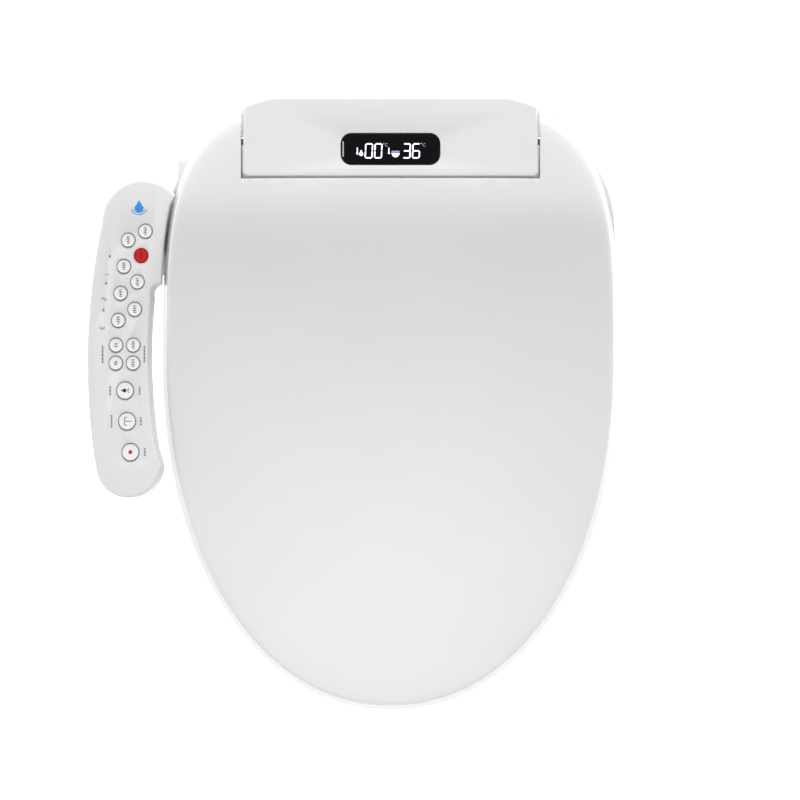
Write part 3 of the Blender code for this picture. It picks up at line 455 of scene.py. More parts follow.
# ---------------------------------------------------------------- rear body

def body_outline(inset, front, rear, count=60):
    right = []
    for y in spaced(front, rear, count):
        swell = math.cos(math.pi * min(1.0, abs(y + 30) / 45) / 2) ** 2
        right.append((half_width(y, inset) + FLANK_BULGE * swell, y))
    return mirrored(right)


def body_form(name, inset, bottom):
    """The cover's outer form, or with an inset the hollow inside it."""
    top = PLATE_LOW.z - 0.3
    form = prism(name, body_outline(inset, -75 + inset, 54 - inset), bottom, top - inset)
    hump = 121.5 - inset
    trough = 147 + inset
    for side in (-1, 1):
        inner, outer = sorted((side * hump, side * trough))
        channel = box("channel", (inner, -90, 34 - inset), (outer, 70, 140))
        inner, outer = sorted((side * (trough - 1), side * 220))
        cut(form, channel, box("above", (inner, -90, 58 - inset), (outer, 70, 140)))
    shift = inset * 1.2
    face = [(-90, 46 - inset), (-75 + inset, 46 - inset)]
    for step in range(9):
        part = step / 8
        bow = 5.0 * math.sin(math.pi * part)
        face.append((-74 + 62 * part + shift - bow * 0.75, 47 + 71 * part - inset / 2 + bow * 0.66))
    face += [(-11 + shift, 140), (-90, 140)]
    front = prism("front", face, -hump - 0.5, hump + 0.5, "X")
    return cut(form, front)


def front_windows():
    nozzles = box("window", (-32, -80, 10.6), (32, -70.5, 40))
    dryer = box("window", (62.5, -80, 12.5), (97.5, -70.5, 39))
    return nozzles, dryer


def make_body():
    """The white cover over the works, and the base pan under it."""
    cover = body_form("rear_cover", 0.0, 28.35)
    cut(cover, body_form("hollow", 3.0, 24.0))
    cut(cover, *front_windows())
    window = rounded_rectangle((0, LENS_MIDDLE.y), 78, 22, 7)
    cut(cover, prism("window", window, 115, 130))
    cut(cover, hinge_bore(130.0))
    cut(cover, box("release", (-190, -14.4, 35.6), (-150, 9.4, 50.4)))
    soften(cover, 1.2, 3, 45)
    smooth(cover, 40)

    pan = prism("base_pan", body_outline(1.5, -75, 36), BASE_LOW.z, BASE_HIGH.z)
    inner = body_outline(4.5, -72, 33)
    cut(pan, prism("hollow", inner, 9, 33), prism("recess", inner, -4, 6))
    cut(pan, rod("inlet", (95, 28, 17), (95, 40, 17), 6.6), rod("cord", (60, 28, 17), (60, 40, 17), 5.6))
    cut(pan, *front_windows())
    # Stiffening ribs across the underside, clear of the docking plate
    ribs = []
    for x in (-150, -125, 125, 150):
        ribs.append(box("rib", (x - 1, -70, 2.5), (x + 1, 30 if abs(x) < 140 else 10, 6.5)))
    for y in (-66, -50, -38):
        ribs.append(box("rib", (-165, y - 1, 2.5), (165, y + 1, 6.5)))
    unite(pan, *ribs)
    soften(pan, 0.7, 2, 50)
    return cover, smooth(pan, 40)


def make_plate():
    """The flush top plate with softly rounded edges, round the display window."""
    def outline(inset):
        side = PLATE_HIGH.x - inset
        corner = 4.0
        rear = REAR_Y - inset
        front = PLATE_LOW.y + inset
        right = oval((side - corner, front + corner), corner, corner, 7, start=-math.pi / 2, end=0)
        right += [(half_width(y, inset), y) for y in spaced(rear_edge_y(side, inset) + 0.5, rear, 16)]
        return mirrored(right)

    rings = []
    rim = ((0.4, None), (0.0, 3.6), (0.0, 1.6), (0.25, 0.8), (0.75, 0.25), (1.5, 0.04), (2.6, 0.0))
    for inset, drop in rim:
        level = PLATE_LOW.z if drop is None else PLATE_TOP_Z - drop
        rings.append([(x, y, level) for x, y in outline(inset)])
    plate = loft("control_plate", rings)
    window = rounded_rectangle((0, LENS_MIDDLE.y), LENS_SIZE.x + 0.8, LENS_SIZE.y + 0.8, 9.0, 14)
    cut(plate, prism("window", window, 120, 132))
    soften(plate, 0.35, 2, 60)
    return smooth(plate, 30)


# ---------------------------------------------------------------- control panel

# The panel's plan, and the frame of its tilted face
PANEL_TILT = math.asin(JOINTS["wash_key_press"]["axis"][0])
PANEL_PIVOT = Vector((-200.0, 0.0, 78.0))
PANEL_OUTER = (-253.1, -165.0, 560.0)
PANEL_INNER = (-202.5, -160.0, 480.0)
PANEL_HEAD = (-206.2, -47.0, 34.3)
PANEL_HEAD_MEET_Y = -25.5
PANEL_NECK_GAP = 1.8
PANEL_BEND_X = -191.6
PANEL_NECK_FRONT_Y = -99.8
PANEL_DEPTH = 24.0
PANEL_FACE = 3.7
PANEL_FRAME = Matrix.Translation(PANEL_PIVOT * MM) @ Matrix.Rotation(-PANEL_TILT, 4, "Y")
KEYS = [name for name in BODY_OF if name.endswith("_key")]
LARGE_KEYS = ("wash_key", "bidet_key", "dry_key")
KEY_GAP = 0.45
LIGHT_FIRST_Y = -76.3
LIGHT_PITCH = -22.5
LIGHT_COUNT = 3
PRINT_LIFT = 0.03


def to_panel(points):
    return [((x - PANEL_PIVOT.x) / math.cos(PANEL_TILT), y) for x, y in points]


def arc_edge(edge, y):
    x, middle, bend = edge
    return x + (y - middle) ** 2 / (2 * bend)


def panel_neck_x(y):
    """The neck's inner edge, which follows the lid's outline at a small gap."""
    return -half_width(y) - PANEL_NECK_GAP


def panel_outline(inset):
    """A bent capsule with a broad neck that reaches in to the lid."""
    x, y, radius = PANEL_HEAD
    start = math.asin((PANEL_HEAD_MEET_Y - y) / radius)
    upper = oval((x, y), radius - inset, radius - inset, 30, start=start, end=math.pi)
    outer = [(arc_edge(PANEL_OUTER, y) + inset, y) for y in spaced(-245, -62, 18)[::-1]]
    lower = oval((-219, -250), 27 - inset, 27.5 - inset, 30, start=math.pi, end=2 * math.pi)
    inner = [(arc_edge(PANEL_INNER, y) - inset, y) for y in spaced(-236, -112, 18)]
    corner = 9.0 + inset
    front = PANEL_NECK_FRONT_Y + inset
    middle = (PANEL_BEND_X, front - corner)
    bend = oval(middle, corner, corner, 12, start=math.pi, end=math.pi / 2)
    neck = [(panel_neck_x(PANEL_NECK_FRONT_Y) - inset, front)]
    neck += [(panel_neck_x(y) - inset, y) for y in spaced(-92.0, -34.0, 12)]
    return to_panel(upper + outer + lower + inner + bend[1:] + neck)


def key_centre(name):
    """A key's place and radius in the panel's own frame."""
    low, high = node_box(name)
    middle = PANEL_FRAME.inverted() @ ((low + high) / 2 * MM)
    return middle.x / MM, middle.y / MM


def settle(obj):
    """Turn a piece made in the panel's frame into place."""
    obj.data.transform(PANEL_FRAME)
    return obj


def key_radius(name):
    return 7.3 if name in LARGE_KEYS else 5.9


def light_places():
    places = []
    for index in range(LIGHT_COUNT):
        y = LIGHT_FIRST_Y + LIGHT_PITCH * index
        places.append(to_panel([(arc_edge(PANEL_OUTER, y) + 12.0, y)])[0])
    return places


def make_panel():
    """The keypad's face with its softly rolled edge, and the tray that carries it."""
    rings = []
    for inset, level in ((0.5, -PANEL_FACE), (0.0, -PANEL_FACE + 0.4), (0.0, -2.2)):
        rings.append([(x, y, level) for x, y in panel_outline(inset)])
    for cosine, sine in quarter_turn(6, 1):
        rings.append([(x, y, -2.2 + 2.2 * sine) for x, y in panel_outline(2.2 * (1 - cosine))])
    face = loft("keypad_face", rings)
    cutters = []
    for name in KEYS:
        x, y = key_centre(name)
        cutters.append(rod("key_hole", (x, y, -6), (x, y, 2), key_radius(name) + KEY_GAP, 48))
    for x, y in light_places():
        cutters.append(rod("light_hole", (x, y, -6), (x, y, 2), 1.1, 16))
    cut(face, *cutters)
    soften(face, 0.22, 2, 50)
    settle(smooth(face, 30))

    rings = []
    for cosine, sine in quarter_turn(6):
        rings.append([(x, y, -PANEL_DEPTH + 5.0 * (1 - cosine)) for x, y in panel_outline(5.0 * (1 - sine))])
    rings.append([(x, y, -PANEL_FACE - 0.7) for x, y in panel_outline(0.0)])
    rings.append([(x, y, -PANEL_FACE - 0.35) for x, y in panel_outline(0.4)])
    tray = loft("keypad_tray", rings)
    inner = [[(x, y, level) for x, y in panel_outline(2.8)] for level in (-PANEL_DEPTH + 2.8, 5)]
    beside = [prism("beside", body_outline(-gap, -110, 53), 20, 110) for gap in (0.9, 3.7)]
    hollow = cut(settle(loft("hollow", inner)), beside[1])
    cut(settle(tray), hollow)
    cut(tray, box("passage", (-205, -70, 57.5), (-180, -50, 66)), beside[0])

    arm = soften(box("keypad_arm", (-206, -92, 36), (-176, -30, 50.5)), 4, 5)
    flank = prism("flank", body_outline(-0.3, -100, 53), 20, 70)
    cut(arm, flank)
    return face, smooth(tray, 40), smooth(arm, 40)


# ---------------------------------------------------------------- keys and printing

def key_cap(name):
    """A key: a stem and skirt below the face, and a rimmed cap above it."""
    size = key_radius(name)
    profile = [(1.2, -9.2), (1.2, -6.4), (size + 0.9, -6.4), (size + 0.9, -PANEL_FACE - 0.9),
               (size, -PANEL_FACE - 0.9), (size, 0.35)]
    profile += [(size - 0.5 * (1 - cosine), 0.35 + 0.5 * sine) for cosine, sine in quarter_turn(4, 1)]
    profile += [(size - 0.95, 0.85), (size - 1.1, 0.62)]
    for share in (0.8, 0.5, 0.2):
        profile.append(((size - 1.1) * share, 0.42 + 0.2 * share ** 2))
    return turned(name.replace("_key", "_button"), profile, Matrix.Identity(4), 56)


def key_ring(name):
    """The dark printed ring round a key's rim."""
    size = key_radius(name)
    count = 56
    section = ((size - 0.02, 0.5), (size - 0.06, 0.92), (size - 0.42, 0.93), (size - 0.46, 0.72),
               (size - 0.3, 0.5))
    rings = []
    for index in range(count):
        turn = 2 * math.pi * index / count
        rings.append([(radius * math.cos(turn), radius * math.sin(turn), level) for radius, level in section])
    return smooth(loft("ring", rings, closed=True), 40)


def flat_mark(name, outlines, level, thickness=0.05):
    """Thin raised printing: one or more closed outlines at a level."""
    marks = [prism(name, outline, level, level + thickness) for outline in outlines]
    return join(name, marks)


def join(name, objects):
    """Several meshes as one piece."""
    bm = bmesh.new()
    for obj in objects:
        bm.from_mesh(obj.data)
        bpy.data.objects.remove(obj, do_unlink=True)
    return add_mesh(name, bm, recalc=False)


def stroke(points, width):
    """The outline of a line of even width through plan points, with square ends."""
    left, right = [], []
    for index, point in enumerate(points):
        before = points[max(0, index - 1)]
        after = points[min(len(points) - 1, index + 1)]
        way = Vector((after[0] - before[0], after[1] - before[1])).normalized() * width / 2
        left.append((point[0] - way.y, point[1] + way.x))
        right.append((point[0] + way.y, point[1] - way.x))
    return left + right[::-1]


def bars(centre, size, count, pitch, along="y"):
    """A row of short dashes, standing in for a line of small print."""
    outlines = []
    for index in range(count):
        shift = (index - (count - 1) / 2) * pitch
        x = centre[0] + (shift if along == "x" else 0)
        y = centre[1] + (shift if along == "y" else 0)
        trim = 0.75 + 0.25 * math.cos(index * 2.4)
        width = size[0] * (trim if along == "y" else 1)
        depth = size[1] * (trim if along == "x" else 1)
        outlines.append([(x - width / 2, y - depth / 2), (x + width / 2, y - depth / 2),
                         (x + width / 2, y + depth / 2), (x - width / 2, y + depth / 2)])
    return outlines


def drop_outline(centre, length, radius, turn):
    """A water drop whose tip points along an angle."""
    points = []
    for index in range(28):
        angle = 2 * math.pi * index / 28
        reach = radius * math.cos(angle)
        if math.cos(angle) > 0:
            reach = (length - radius) * math.cos(angle) ** 2.2 * 0.9 + radius * 0.12
        side = radius * math.sin(angle) * (1 - 0.45 * max(0.0, math.cos(angle)))
        x = reach * math.cos(turn) - side * math.sin(turn)
        y = reach * math.sin(turn) + side * math.cos(turn)
        points.append((centre[0] + x, centre[1] + y))
    return points


def key_symbol(name):
    """Outlines of the plain symbol printed on a key."""
    if name == "wash_key":
        outlines = [drop_outline((-0.6, 0), 4.6, 1.7, math.pi)]
        for lean in (-0.75, 0.0, 0.75):
            start = (1.9, lean * 0.9)
            end = (3.9, lean * 3.0)
            outlines.append(stroke([start, end], 0.45))
        return outlines
    if name == "bidet_key":
        outlines = [stroke([(-0.9, 0), (1.2, 0), (4.2, 0)], 0.62)]
        for side in (-1, 1):
            turns = [math.radians(210 * step / 12) for step in range(13)]
            arch = [(-0.9 - 1.5 * math.sin(turn), side * 1.7 * (1 - math.cos(turn))) for turn in turns]
            outlines.append(stroke(arch, 0.62))
        return outlines
    if name == "dry_key":
        return [rounded_rectangle((0, 0), 3.0, 3.0, 0.5, 4)]
    if name == "stop_key":
        return [rounded_rectangle((0, 0), 1.5, 6.6, 0.4, 4)]
    rows = 4 if name not in ("pressure_up_key", "pressure_down_key") else 2
    outlines = []
    for index in range(rows):
        y = (index - (rows - 1) / 2) * 1.9
        lean = 0.5 * math.sin(index * 2.1 + len(name))
        outlines.append(stroke([(-1.5, y - 0.5), (lean, y), (1.5, y - 0.4 * lean)], 0.62))
        outlines.append(stroke([(-0.1 + lean * 0.5, y + 0.9), (0.1 - lean * 0.5, y - 0.9)], 0.45))
    return outlines


KEY_INK = {"dry_key": "red_key", "stop_key": "dark_red", "wash_key": "black_print"}


def make_keys():
    """Every key with its ring and symbol, riding on the key's own body."""
    for name in KEYS:
        body = BODY_OF[name]
        x, y = key_centre(name)
        place = PANEL_FRAME @ Matrix.Translation(Vector((x, y, 0)) * MM)
        cap = smooth(key_cap(name), 38)
        ring = key_ring(name)
        level = 0.42 if name != "stop_key" else 0.43
        symbol = flat_mark("symbol", key_symbol(name), level, 0.09)
        red = name == "stop_key"
        dress(cap, "red_key" if red else "key_white", body, SLOT_OF[name], name)
        ring.name = name.replace("_key", "_ring")
        dress(ring, "dark_print" if not red else "dark_red", body, SLOT_OF[name])
        symbol.name = name.replace("_key", "_symbol")
        ink = KEY_INK.get(name, "dark_print")
        dress(symbol, ink, body, SLOT_OF[name])
        for piece in (cap, ring, symbol):
            piece.data.transform(place)


def make_printing():
    """Small printed marks round the keys, all of them plain dots, digits, dashes and a drop."""
    dark = []
    for value, y in ((1, -90.4), (2, -111.9), (3, -135.7)):
        x, y = to_panel([(arc_edge(PANEL_OUTER, y) + 12.0, y)])[0]
        dark += digit_outlines(value, (x - 1.7, y - 1.1), 2.2, 3.4, 0.62, turned=True)
    level = PRINT_LIFT
    marks = flat_mark("panel_scale_print", dark, level)
    dress(settle(marks), "soft_print", "main", "white_satin")

    grey = []
    for y, inset, size in ((-157.7, 13.0, 15), (-157.7, 48.0, 14), (-188.1, 19.0, 9), (-188.1, 43.5, 8),
                           (-213.7, 18.5, 11), (-213.7, 43.0, 8), (-239.4, 43.5, 8)):
        centre = to_panel([(arc_edge(PANEL_OUTER, y) + inset, y)])[0]
        grey += bars(centre, (1.7, 0.85), int(size / 1.15), 1.15)
    marks = flat_mark("panel_caption_print", grey, level)
    dress(settle(marks), "soft_print", "main", "white_satin")

    centre = to_panel([(-209.5, -33.5)])[0]
    drop = drop_outline((centre[0], centre[1] - 2.0), 9.6, 3.9, math.pi / 2)
    ripple = []
    for radius in (5.5, 7.5):
        arch = [(centre[0] + radius * math.cos(turn), centre[1] - 1.2 + radius * math.sin(turn) * 0.9)
                for turn in [math.radians(205 + 130 * step / 14) for step in range(15)]]
        ripple.append(stroke(arch, 0.7))
    emblem = flat_mark("panel_drop_emblem", [drop] + ripple, level)
    dress(settle(emblem), "blue_print", "main", "white_satin")


SEGMENTS = {0: "abcdef", 1: "bc", 2: "abged", 3: "abgcd", 4: "fgbc", 5: "afgcd", 6: "afgedc"}


def digit_outlines(value, corner, width, height, weight, turned=False, lean=0.0):
    """One seven-segment digit; turned digits read from the panel's side."""
    half = height / 2
    ends = {"a": ((0, height), (width, height)), "b": ((width, height), (width, half)),
            "c": ((width, half), (width, 0)), "d": ((0, 0), (width, 0)), "e": ((0, 0), (0, half)),
            "f": ((0, half), (0, height)), "g": ((0, half), (width, half))}
    outlines = []
    trim = weight * 0.62
    for letter in SEGMENTS[value]:
        (x1, y1), (x2, y2) = ends[letter]
        if x1 == x2:
            points = [(x1, min(y1, y2) + trim), (x1, max(y1, y2) - trim)]
        else:
            points = [(x1 + trim, y1), (x2 - trim, y1)]
        points = [(x + lean * y, y) for x, y in points]
        if turned:
            points = [(y, width - x) for x, y in points]
        points = [(corner[0] + x, corner[1] + y) for x, y in points]
        (ax, ay), (bx, by) = points
        way = Vector((bx - ax, by - ay)).normalized()
        side = Vector((-way.y, way.x)) * weight / 2
        tip = way * weight / 2
        outlines.append([(ax - tip.x, ay - tip.y), (ax - side.x, ay - side.y), (bx - side.x, by - side.y),
                         (bx + tip.x, by + tip.y), (bx + side.x, by + side.y), (ax + side.x, ay + side.y)])
    return outlines


# ---------------------------------------------------------------- display

def make_display():
    """The black glass lens with its painted glint and the lit digits and signs just under its face."""
    middle, size, top = LENS_MIDDLE, LENS_SIZE, LENS_HIGH.z
    rings = []
    for inset, level in ((0.3, LENS_LOW.z), (0.0, LENS_LOW.z + 0.3), (0.0, top - 0.75), (0.15, top - 0.5),
                         (0.5, top - 0.34), (1.2, top - 0.3)):
        width, depth = size.x - 2 * inset, size.y - 2 * inset
        outline = rounded_rectangle((0, middle.y), width, depth, 9.0 - inset, 16)
        rings.append([(x, y, level) for x, y in outline])
    lens = smooth(loft("display_glass", rings), 30)
    stand_in(lens, "black_glass", "display_lens")

    level = top - 0.29
    lit = []
    for value, left in ((0, -21.0), (0, -13.2), (3, 10.4), (6, 18.2)):
        lit += digit_outlines(value, (left, middle.y - 7.3), 5.6, 11.6, 1.1, lean=0.05)
    dim = []
    for left in (-5.6, 25.6):
        x, y = left + 2.4, middle.y + 3.0
        dim.append(oval((left, y + 1.6), 0.6, 0.6, 10))
        dim += [stroke([(x - 0.6, y + rise), (x + 1.0, y + rise)], 0.4) for rise in (1.5, -0.7)]
        dim.append(stroke([(x - 0.9, y - 0.5), (x - 0.9, y + 1.3)], 0.4))
    degrees = flat_mark("display_degree_signs", dim, level, 0.04)
    dress(degrees, "display_dim", "main", "black_glass")
    digits = flat_mark("display_digits", lit, level, 0.04)
    dress(digits, "display_light", "main", "black_glass")

    signs = [drop_outline((-24.3, middle.y - 4.0), 5.2, 1.75, math.pi / 2)]
    signs.append(rounded_rectangle((-27.5, middle.y - 1.4), 0.9, 5.4, 0.4, 4))
    signs.append(oval((-27.5, middle.y - 3.6), 0.95, 0.95, 12))
    signs.append(rounded_rectangle((-1.3, middle.y - 1.2), 0.8, 4.6, 0.35, 4))
    signs.append(oval((-1.3, middle.y - 3.3), 0.85, 0.85, 12))
    bowl = oval((4.2, middle.y - 3.2), 3.3, 3.6, 14, start=math.pi, end=2 * math.pi)
    signs.append(bowl)
    signs = flat_mark("display_signs", signs, level, 0.04)
    dress(signs, "display_light", "main", "black_glass")
    lid_line = rounded_rectangle((4.2, middle.y - 2.0), 6.8, 1.1, 0.3, 4)
    seat_sign = flat_mark("display_seat_sign", [lid_line], level, 0.04)
    dress(seat_sign, "display_dim", "main", "black_glass")

    # A slim flat grey strip at the lens's end is a painted glint, a painted highlight on the glass
    side = -size.x / 2 + 1.5
    glint = [(side - 0.35, middle.y - 6.6), (side + 0.75, middle.y - 6.0), (side + 0.75, middle.y + 6.0),
             (side - 0.35, middle.y + 6.6)]
    glint = flat_mark("display_painted_glint", [glint], level, 0.04)
    dress(glint, "painted_glint_grey", "main", "black_glass")


# ---------------------------------------------------------------- turned and small pieces

def turned(name, profile, place, count=64):
    """A closed profile of (radius, height) swept round an axis, then put in place."""
    rings = [[(radius * math.cos(2 * math.pi * i / count), radius * math.sin(2 * math.pi * i / count), height)
              for i in range(count)] for radius, height in profile]
    obj = loft(name, rings)
    obj.data.transform(place)
    return obj


def along_y(x, y, z):
    """A frame whose +Z points to the rear."""
    return Matrix.Translation(Vector((x, y, z)) * MM) @ Matrix.Rotation(-math.pi / 2, 4, "X")


def nozzle_frame(x):
    """A frame at a nozzle's resting tip whose +Z runs back up its slide."""
    way = -Vector(JOINTS["front_nozzle_slide"]["axis"])
    slope = math.asin(way.z)
    turn = Matrix.Rotation(slope - math.pi / 2, 4, "X")
    return Matrix.Translation(Vector((x, -70.0, 26.5)) * MM) @ turn


SPRAY_HOLES = {
    "rear": ((0, 8.0), (0, 11.5)),
    "front": ((-1.6, 8.0), (1.6, 8.0), (-1.6, 11.5), (1.6, 11.5)),
}


def make_nozzles():
    """Each wand with its drawn rings, and its metal tip with the spray holes on top."""
    radius = 6.0
    for x, tag in ((-14.0, "rear"), (14.0, "front")):
        frame_here = nozzle_frame(x)
        profile = [(0.8, 0.0), (3.6, 0.15), (5.0, 0.8), (5.7, 1.9), (radius, 3.6), (radius, 19.6), (5.6, 20.0),
                   (5.6, 20.6), (radius, 21.0), (radius, 21.8), (5.8, 22.0)]
        tip = turned(f"{tag}_spray_tip", profile, Matrix.Identity(4), 48)
        flat = box("flat", (-4.2, 5.35, 5.0), (4.2, 9.0, 15.0))
        holes = []
        for u, w in SPRAY_HOLES[tag]:
            holes.append(rod("hole", (u, 3.2, w), (u, 8.0, w), 0.55, 14))
        cut(tip, flat, *holes)
        tip.data.transform(frame_here)
        smooth(tip, 30)
        stand_in(tip, "brushed_steel", f"{tag}_nozzle_tip")

        profile = [(5.8, 22.3), (radius, 22.6)]
        for ring in range(5):
            start = 30.0 + 14.0 * ring
            profile += [(radius, start), (5.7, start + 0.3), (5.7, start + 1.0), (radius, start + 1.3)]
        profile += [(radius, 104.2), (5.4, 105.0)]
        wand = turned(f"{tag}_wand", profile, frame_here, 48)
        stand_in(smooth(wand, 30), "white_satin", f"{tag}_nozzle")


def make_bumpers():
    """Rubber feet under the seat and pads under the lid, each with a moulded ring."""
    for node in sorted(SLOT_OF):
        if "bumper" not in node:
            continue
        low, high = node_box(node)
        middle = (low + high) / 2
        size = high - low
        height = size.z
        reach = min(size.x, size.y) / 2
        profile = [(reach * 0.25, 0.5), (reach * 0.5, 0.5), (reach * 0.56, 0.0), (reach - 1.4, 0.0),
                   (reach - 0.5, 0.4), (reach, 1.3), (reach, height - 1.0), (reach - 0.35, height - 0.25),
                   (reach - 1.0, height)]
        if node.startswith("lid"):
            profile[-3:] = [(reach, height - 0.9), (reach - 0.3, height - 0.2), (reach - 0.8, height)]
        place = Matrix.Translation(Vector((middle.x, middle.y, low.z)) * MM)
        foot = turned(node.replace("bumper", "pad"), profile, place, 40)
        if size.x > size.y * 1.25 or size.y > size.x * 1.25:
            stretch = Matrix.Diagonal((size.x / (2 * reach), size.y / (2 * reach), 1, 1))
            foot.data.transform(place @ stretch @ place.inverted())
        stand_in(smooth(foot, 30), "rubber", node)


def make_fittings():
    """Hinge pins, release button, dryer flap, docking plate, water inlet and cord gland."""
    for tag, side in (("right", -1), ("left", 1)):
        low, high = node_box(f"hinge_pin_{tag}")
        length = high.x - low.x
        profile = [(2.6, 0.0), (3.4, 0.25), (4.0, 0.9), (4.0, length - 0.9), (3.4, length - 0.25),
                   (2.6, length)]
        start = Vector((low.x, AXIS_Y, AXIS_Z)) * MM
        place = Matrix.Translation(start) @ Matrix.Rotation(math.pi / 2, 4, "Y")
        pin = turned(f"hinge_pin_turned_{tag}", profile, place, 40)
        stand_in(smooth(pin, 35), "brushed_steel", f"hinge_pin_{tag}")

    low, high = node_box("quick_release_button")
    middle = (low + high) / 2

    def button_ring(x, inset):
        width = high.y - low.y - 2 * inset
        height = high.z - low.z - 2 * inset
        outline = rounded_rectangle((middle.y, middle.z), width, height, 6.4 - inset, 10)
        return [(x, u, v) for u, v in outline]

    rings = [button_ring(high.x, 0.0)]
    rings += [button_ring(low.x + 2.6 * (1 - sine), 2.6 * (1 - cosine)) for cosine, sine in quarter_turn(8)]
    button = loft("release_button", rings)
    cuts = []
    for z in (-3.2, 0.0, 3.2):
        cuts.append(box("grip", (low.x - 1, middle.y - 6, middle.z + z - 0.5),
                        (low.x + 0.5, middle.y + 6, middle.z + z + 0.5)))
    cut(button, *cuts)
    soften(button, 0.25, 2, 45)
    stand_in(smooth(button, 35), "white_satin", "quick_release_button")

    low, high = node_box("dryer_flap")
    flap = box("flap_leaf", low, high)
    grooves = []
    for share in (0.25, 0.4, 0.55):
        z = low.z + (high.z - low.z) * share
        grooves.append(box("groove", (low.x + 4, low.y - 1, z - 0.5), (high.x - 4, low.y + 0.45, z + 0.5)))
    cut(flap, *grooves)
    soften(flap, 0.5, 3, 40)
    stand_in(smooth(flap, 35), "white_satin", "dryer_flap")

    low, high = node_box("docking_plate")
    width = high.x - low.x
    depth = high.y - low.y
    middle = (low + high) / 2
    plate = prism("dock", rounded_rectangle((middle.x, middle.y), width, depth, 8, 14), low.z, high.z)
    slots = [rounded_rectangle((side * 70, 0), 30, 11, 5.4, 10) for side in (-1, 1)]
    cuts = [prism("slot", slot, low.z - 1, high.z + 1) for slot in slots]
    cuts.append(prism("catch", rounded_rectangle((0, 17), 40, 8, 3.9, 10), low.z - 1, high.z + 1))
    for x in (-44, -22, 0, 22, 44):
        cuts.append(prism("pocket", rounded_rectangle((x, -10), 16, 22, 2.5, 5), low.z - 1, low.z + 1.6))
    for side in (-1, 1):
        for index in range(9):
            x = side * 70 + (index - 4) * 3.4
            cuts.append(box("tooth", (x - 0.5, 7.4, low.z - 1), (x + 0.5, 11.4, low.z + 0.6)))
    cut(plate, *cuts)
    soften(plate, 0.4, 2, 50)
    stand_in(smooth(plate, 35), "grey_plastic", "docking_plate")

    profile = [(6.0, 0.2), (6.0, 3.8), (12.6, 3.8), (13.0, 4.2), (13.0, 5.2), (10.4, 5.2)]
    for turn in range(6):
        start = 5.9 + 1.75 * turn
        profile += [(9.7, start), (9.7, start + 0.35), (10.4, start + 0.85), (10.4, start + 1.15)]
    profile += [(10.2, 17.2), (9.4, 18.0), (7.9, 18.0), (7.5, 17.6), (7.5, 9.0), (1.0, 9.0)]
    inlet = turned("supply_inlet", profile, along_y(95, 32.6, 17), 72)
    stand_in(smooth(inlet, 32), "brass", "water_inlet")

    profile = [(5.0, -4.0), (5.0, 3.8), (9.2, 3.8), (9.5, 4.2), (9.5, 6.6), (9.1, 7.0), (8.0, 7.0)]
    for ring in range(4):
        start = 8.2 + 1.7 * ring
        radius = 7.9 - 0.28 * ring
        profile += [(radius, start), (radius - 0.7, start + 0.3), (radius - 0.7, start + 0.8),
                    (radius - 0.15, start + 1.1)]
    profile += [(6.6, 15.3), (5.6, 16.5), (4.2, 17.0), (3.4, 17.0), (3.1, 16.4), (1.0, 16.4)]
    gland = turned("cord_gland", profile, along_y(60, 32.6, 17), 56)
    stand_in(smooth(gland, 32), "rubber", "power_cord_gland")


# ---------------------------------------------------------------- materials

def link(tree, start, end):
    tree.links.new(start, end)


def put(node, socket, value):
    node.inputs[socket].default_value = value


def new_material(name, colour, roughness, metallic=0.0, coat=0.0, specular=0.5, subsurface=0.0):
    material = bpy.data.materials.new(name)
    material.use_nodes = True
    tree = material.node_tree
    shader = tree.nodes["Principled BSDF"]
    put(shader, "Base Color", (*colour, 1))
    put(shader, "Roughness", roughness)
    put(shader, "Metallic", metallic)
    put(shader, "Coat Weight", coat)
    put(shader, "Coat Roughness", 0.08)
    put(shader, "Specular IOR Level", specular)
    put(shader, "Subsurface Weight", subsurface)
    put(shader, "Subsurface Scale", 0.002)
    return material, tree, shader


def object_noise(tree, scale, detail=4.0, stretch=None):
    """Noise that keeps its size in metres on the object."""
    places = tree.nodes.new("ShaderNodeTexCoord")
    noise = tree.nodes.new("ShaderNodeTexNoise")
    put(noise, "Scale", scale)
    put(noise, "Detail", detail)
    if stretch:
        mapping = tree.nodes.new("ShaderNodeMapping")
        put(mapping, "Scale", stretch)
        link(tree, places.outputs["Object"], mapping.inputs["Vector"])
        link(tree, mapping.outputs["Vector"], noise.inputs["Vector"])
    else:
        link(tree, places.outputs["Object"], noise.inputs["Vector"])
    return noise.outputs["Fac"]


def ramp(tree, factor, low, high, start=0.35, end=0.65):
    """Blend between two colours by a factor."""
    node = tree.nodes.new("ShaderNodeValToRGB")
    node.color_ramp.elements[0].position = start
    node.color_ramp.elements[1].position = end
    node.color_ramp.elements[0].color = (*low, 1)
    node.color_ramp.elements[1].color = (*high, 1)
    link(tree, factor, node.inputs["Fac"])
    return node.outputs["Color"]


def spread(tree, factor, low, high):
    """Map a 0 to 1 factor to a range of values."""
    node = tree.nodes.new("ShaderNodeMapRange")
    put(node, "From Min", 0.3)
    put(node, "From Max", 0.7)
    put(node, "To Min", low)
    put(node, "To Max", high)
    link(tree, factor, node.inputs["Value"])
    return node.outputs["Result"]


def relief(tree, shader, height, strength, distance):
    node = tree.nodes.new("ShaderNodeBump")
    put(node, "Strength", strength)
    put(node, "Distance", distance)
    link(tree, height, node.inputs["Height"])
    link(tree, node.outputs["Normal"], shader.inputs["Normal"])


def shade(colour, amount):
    return tuple(min(1.0, channel * amount) for channel in colour)


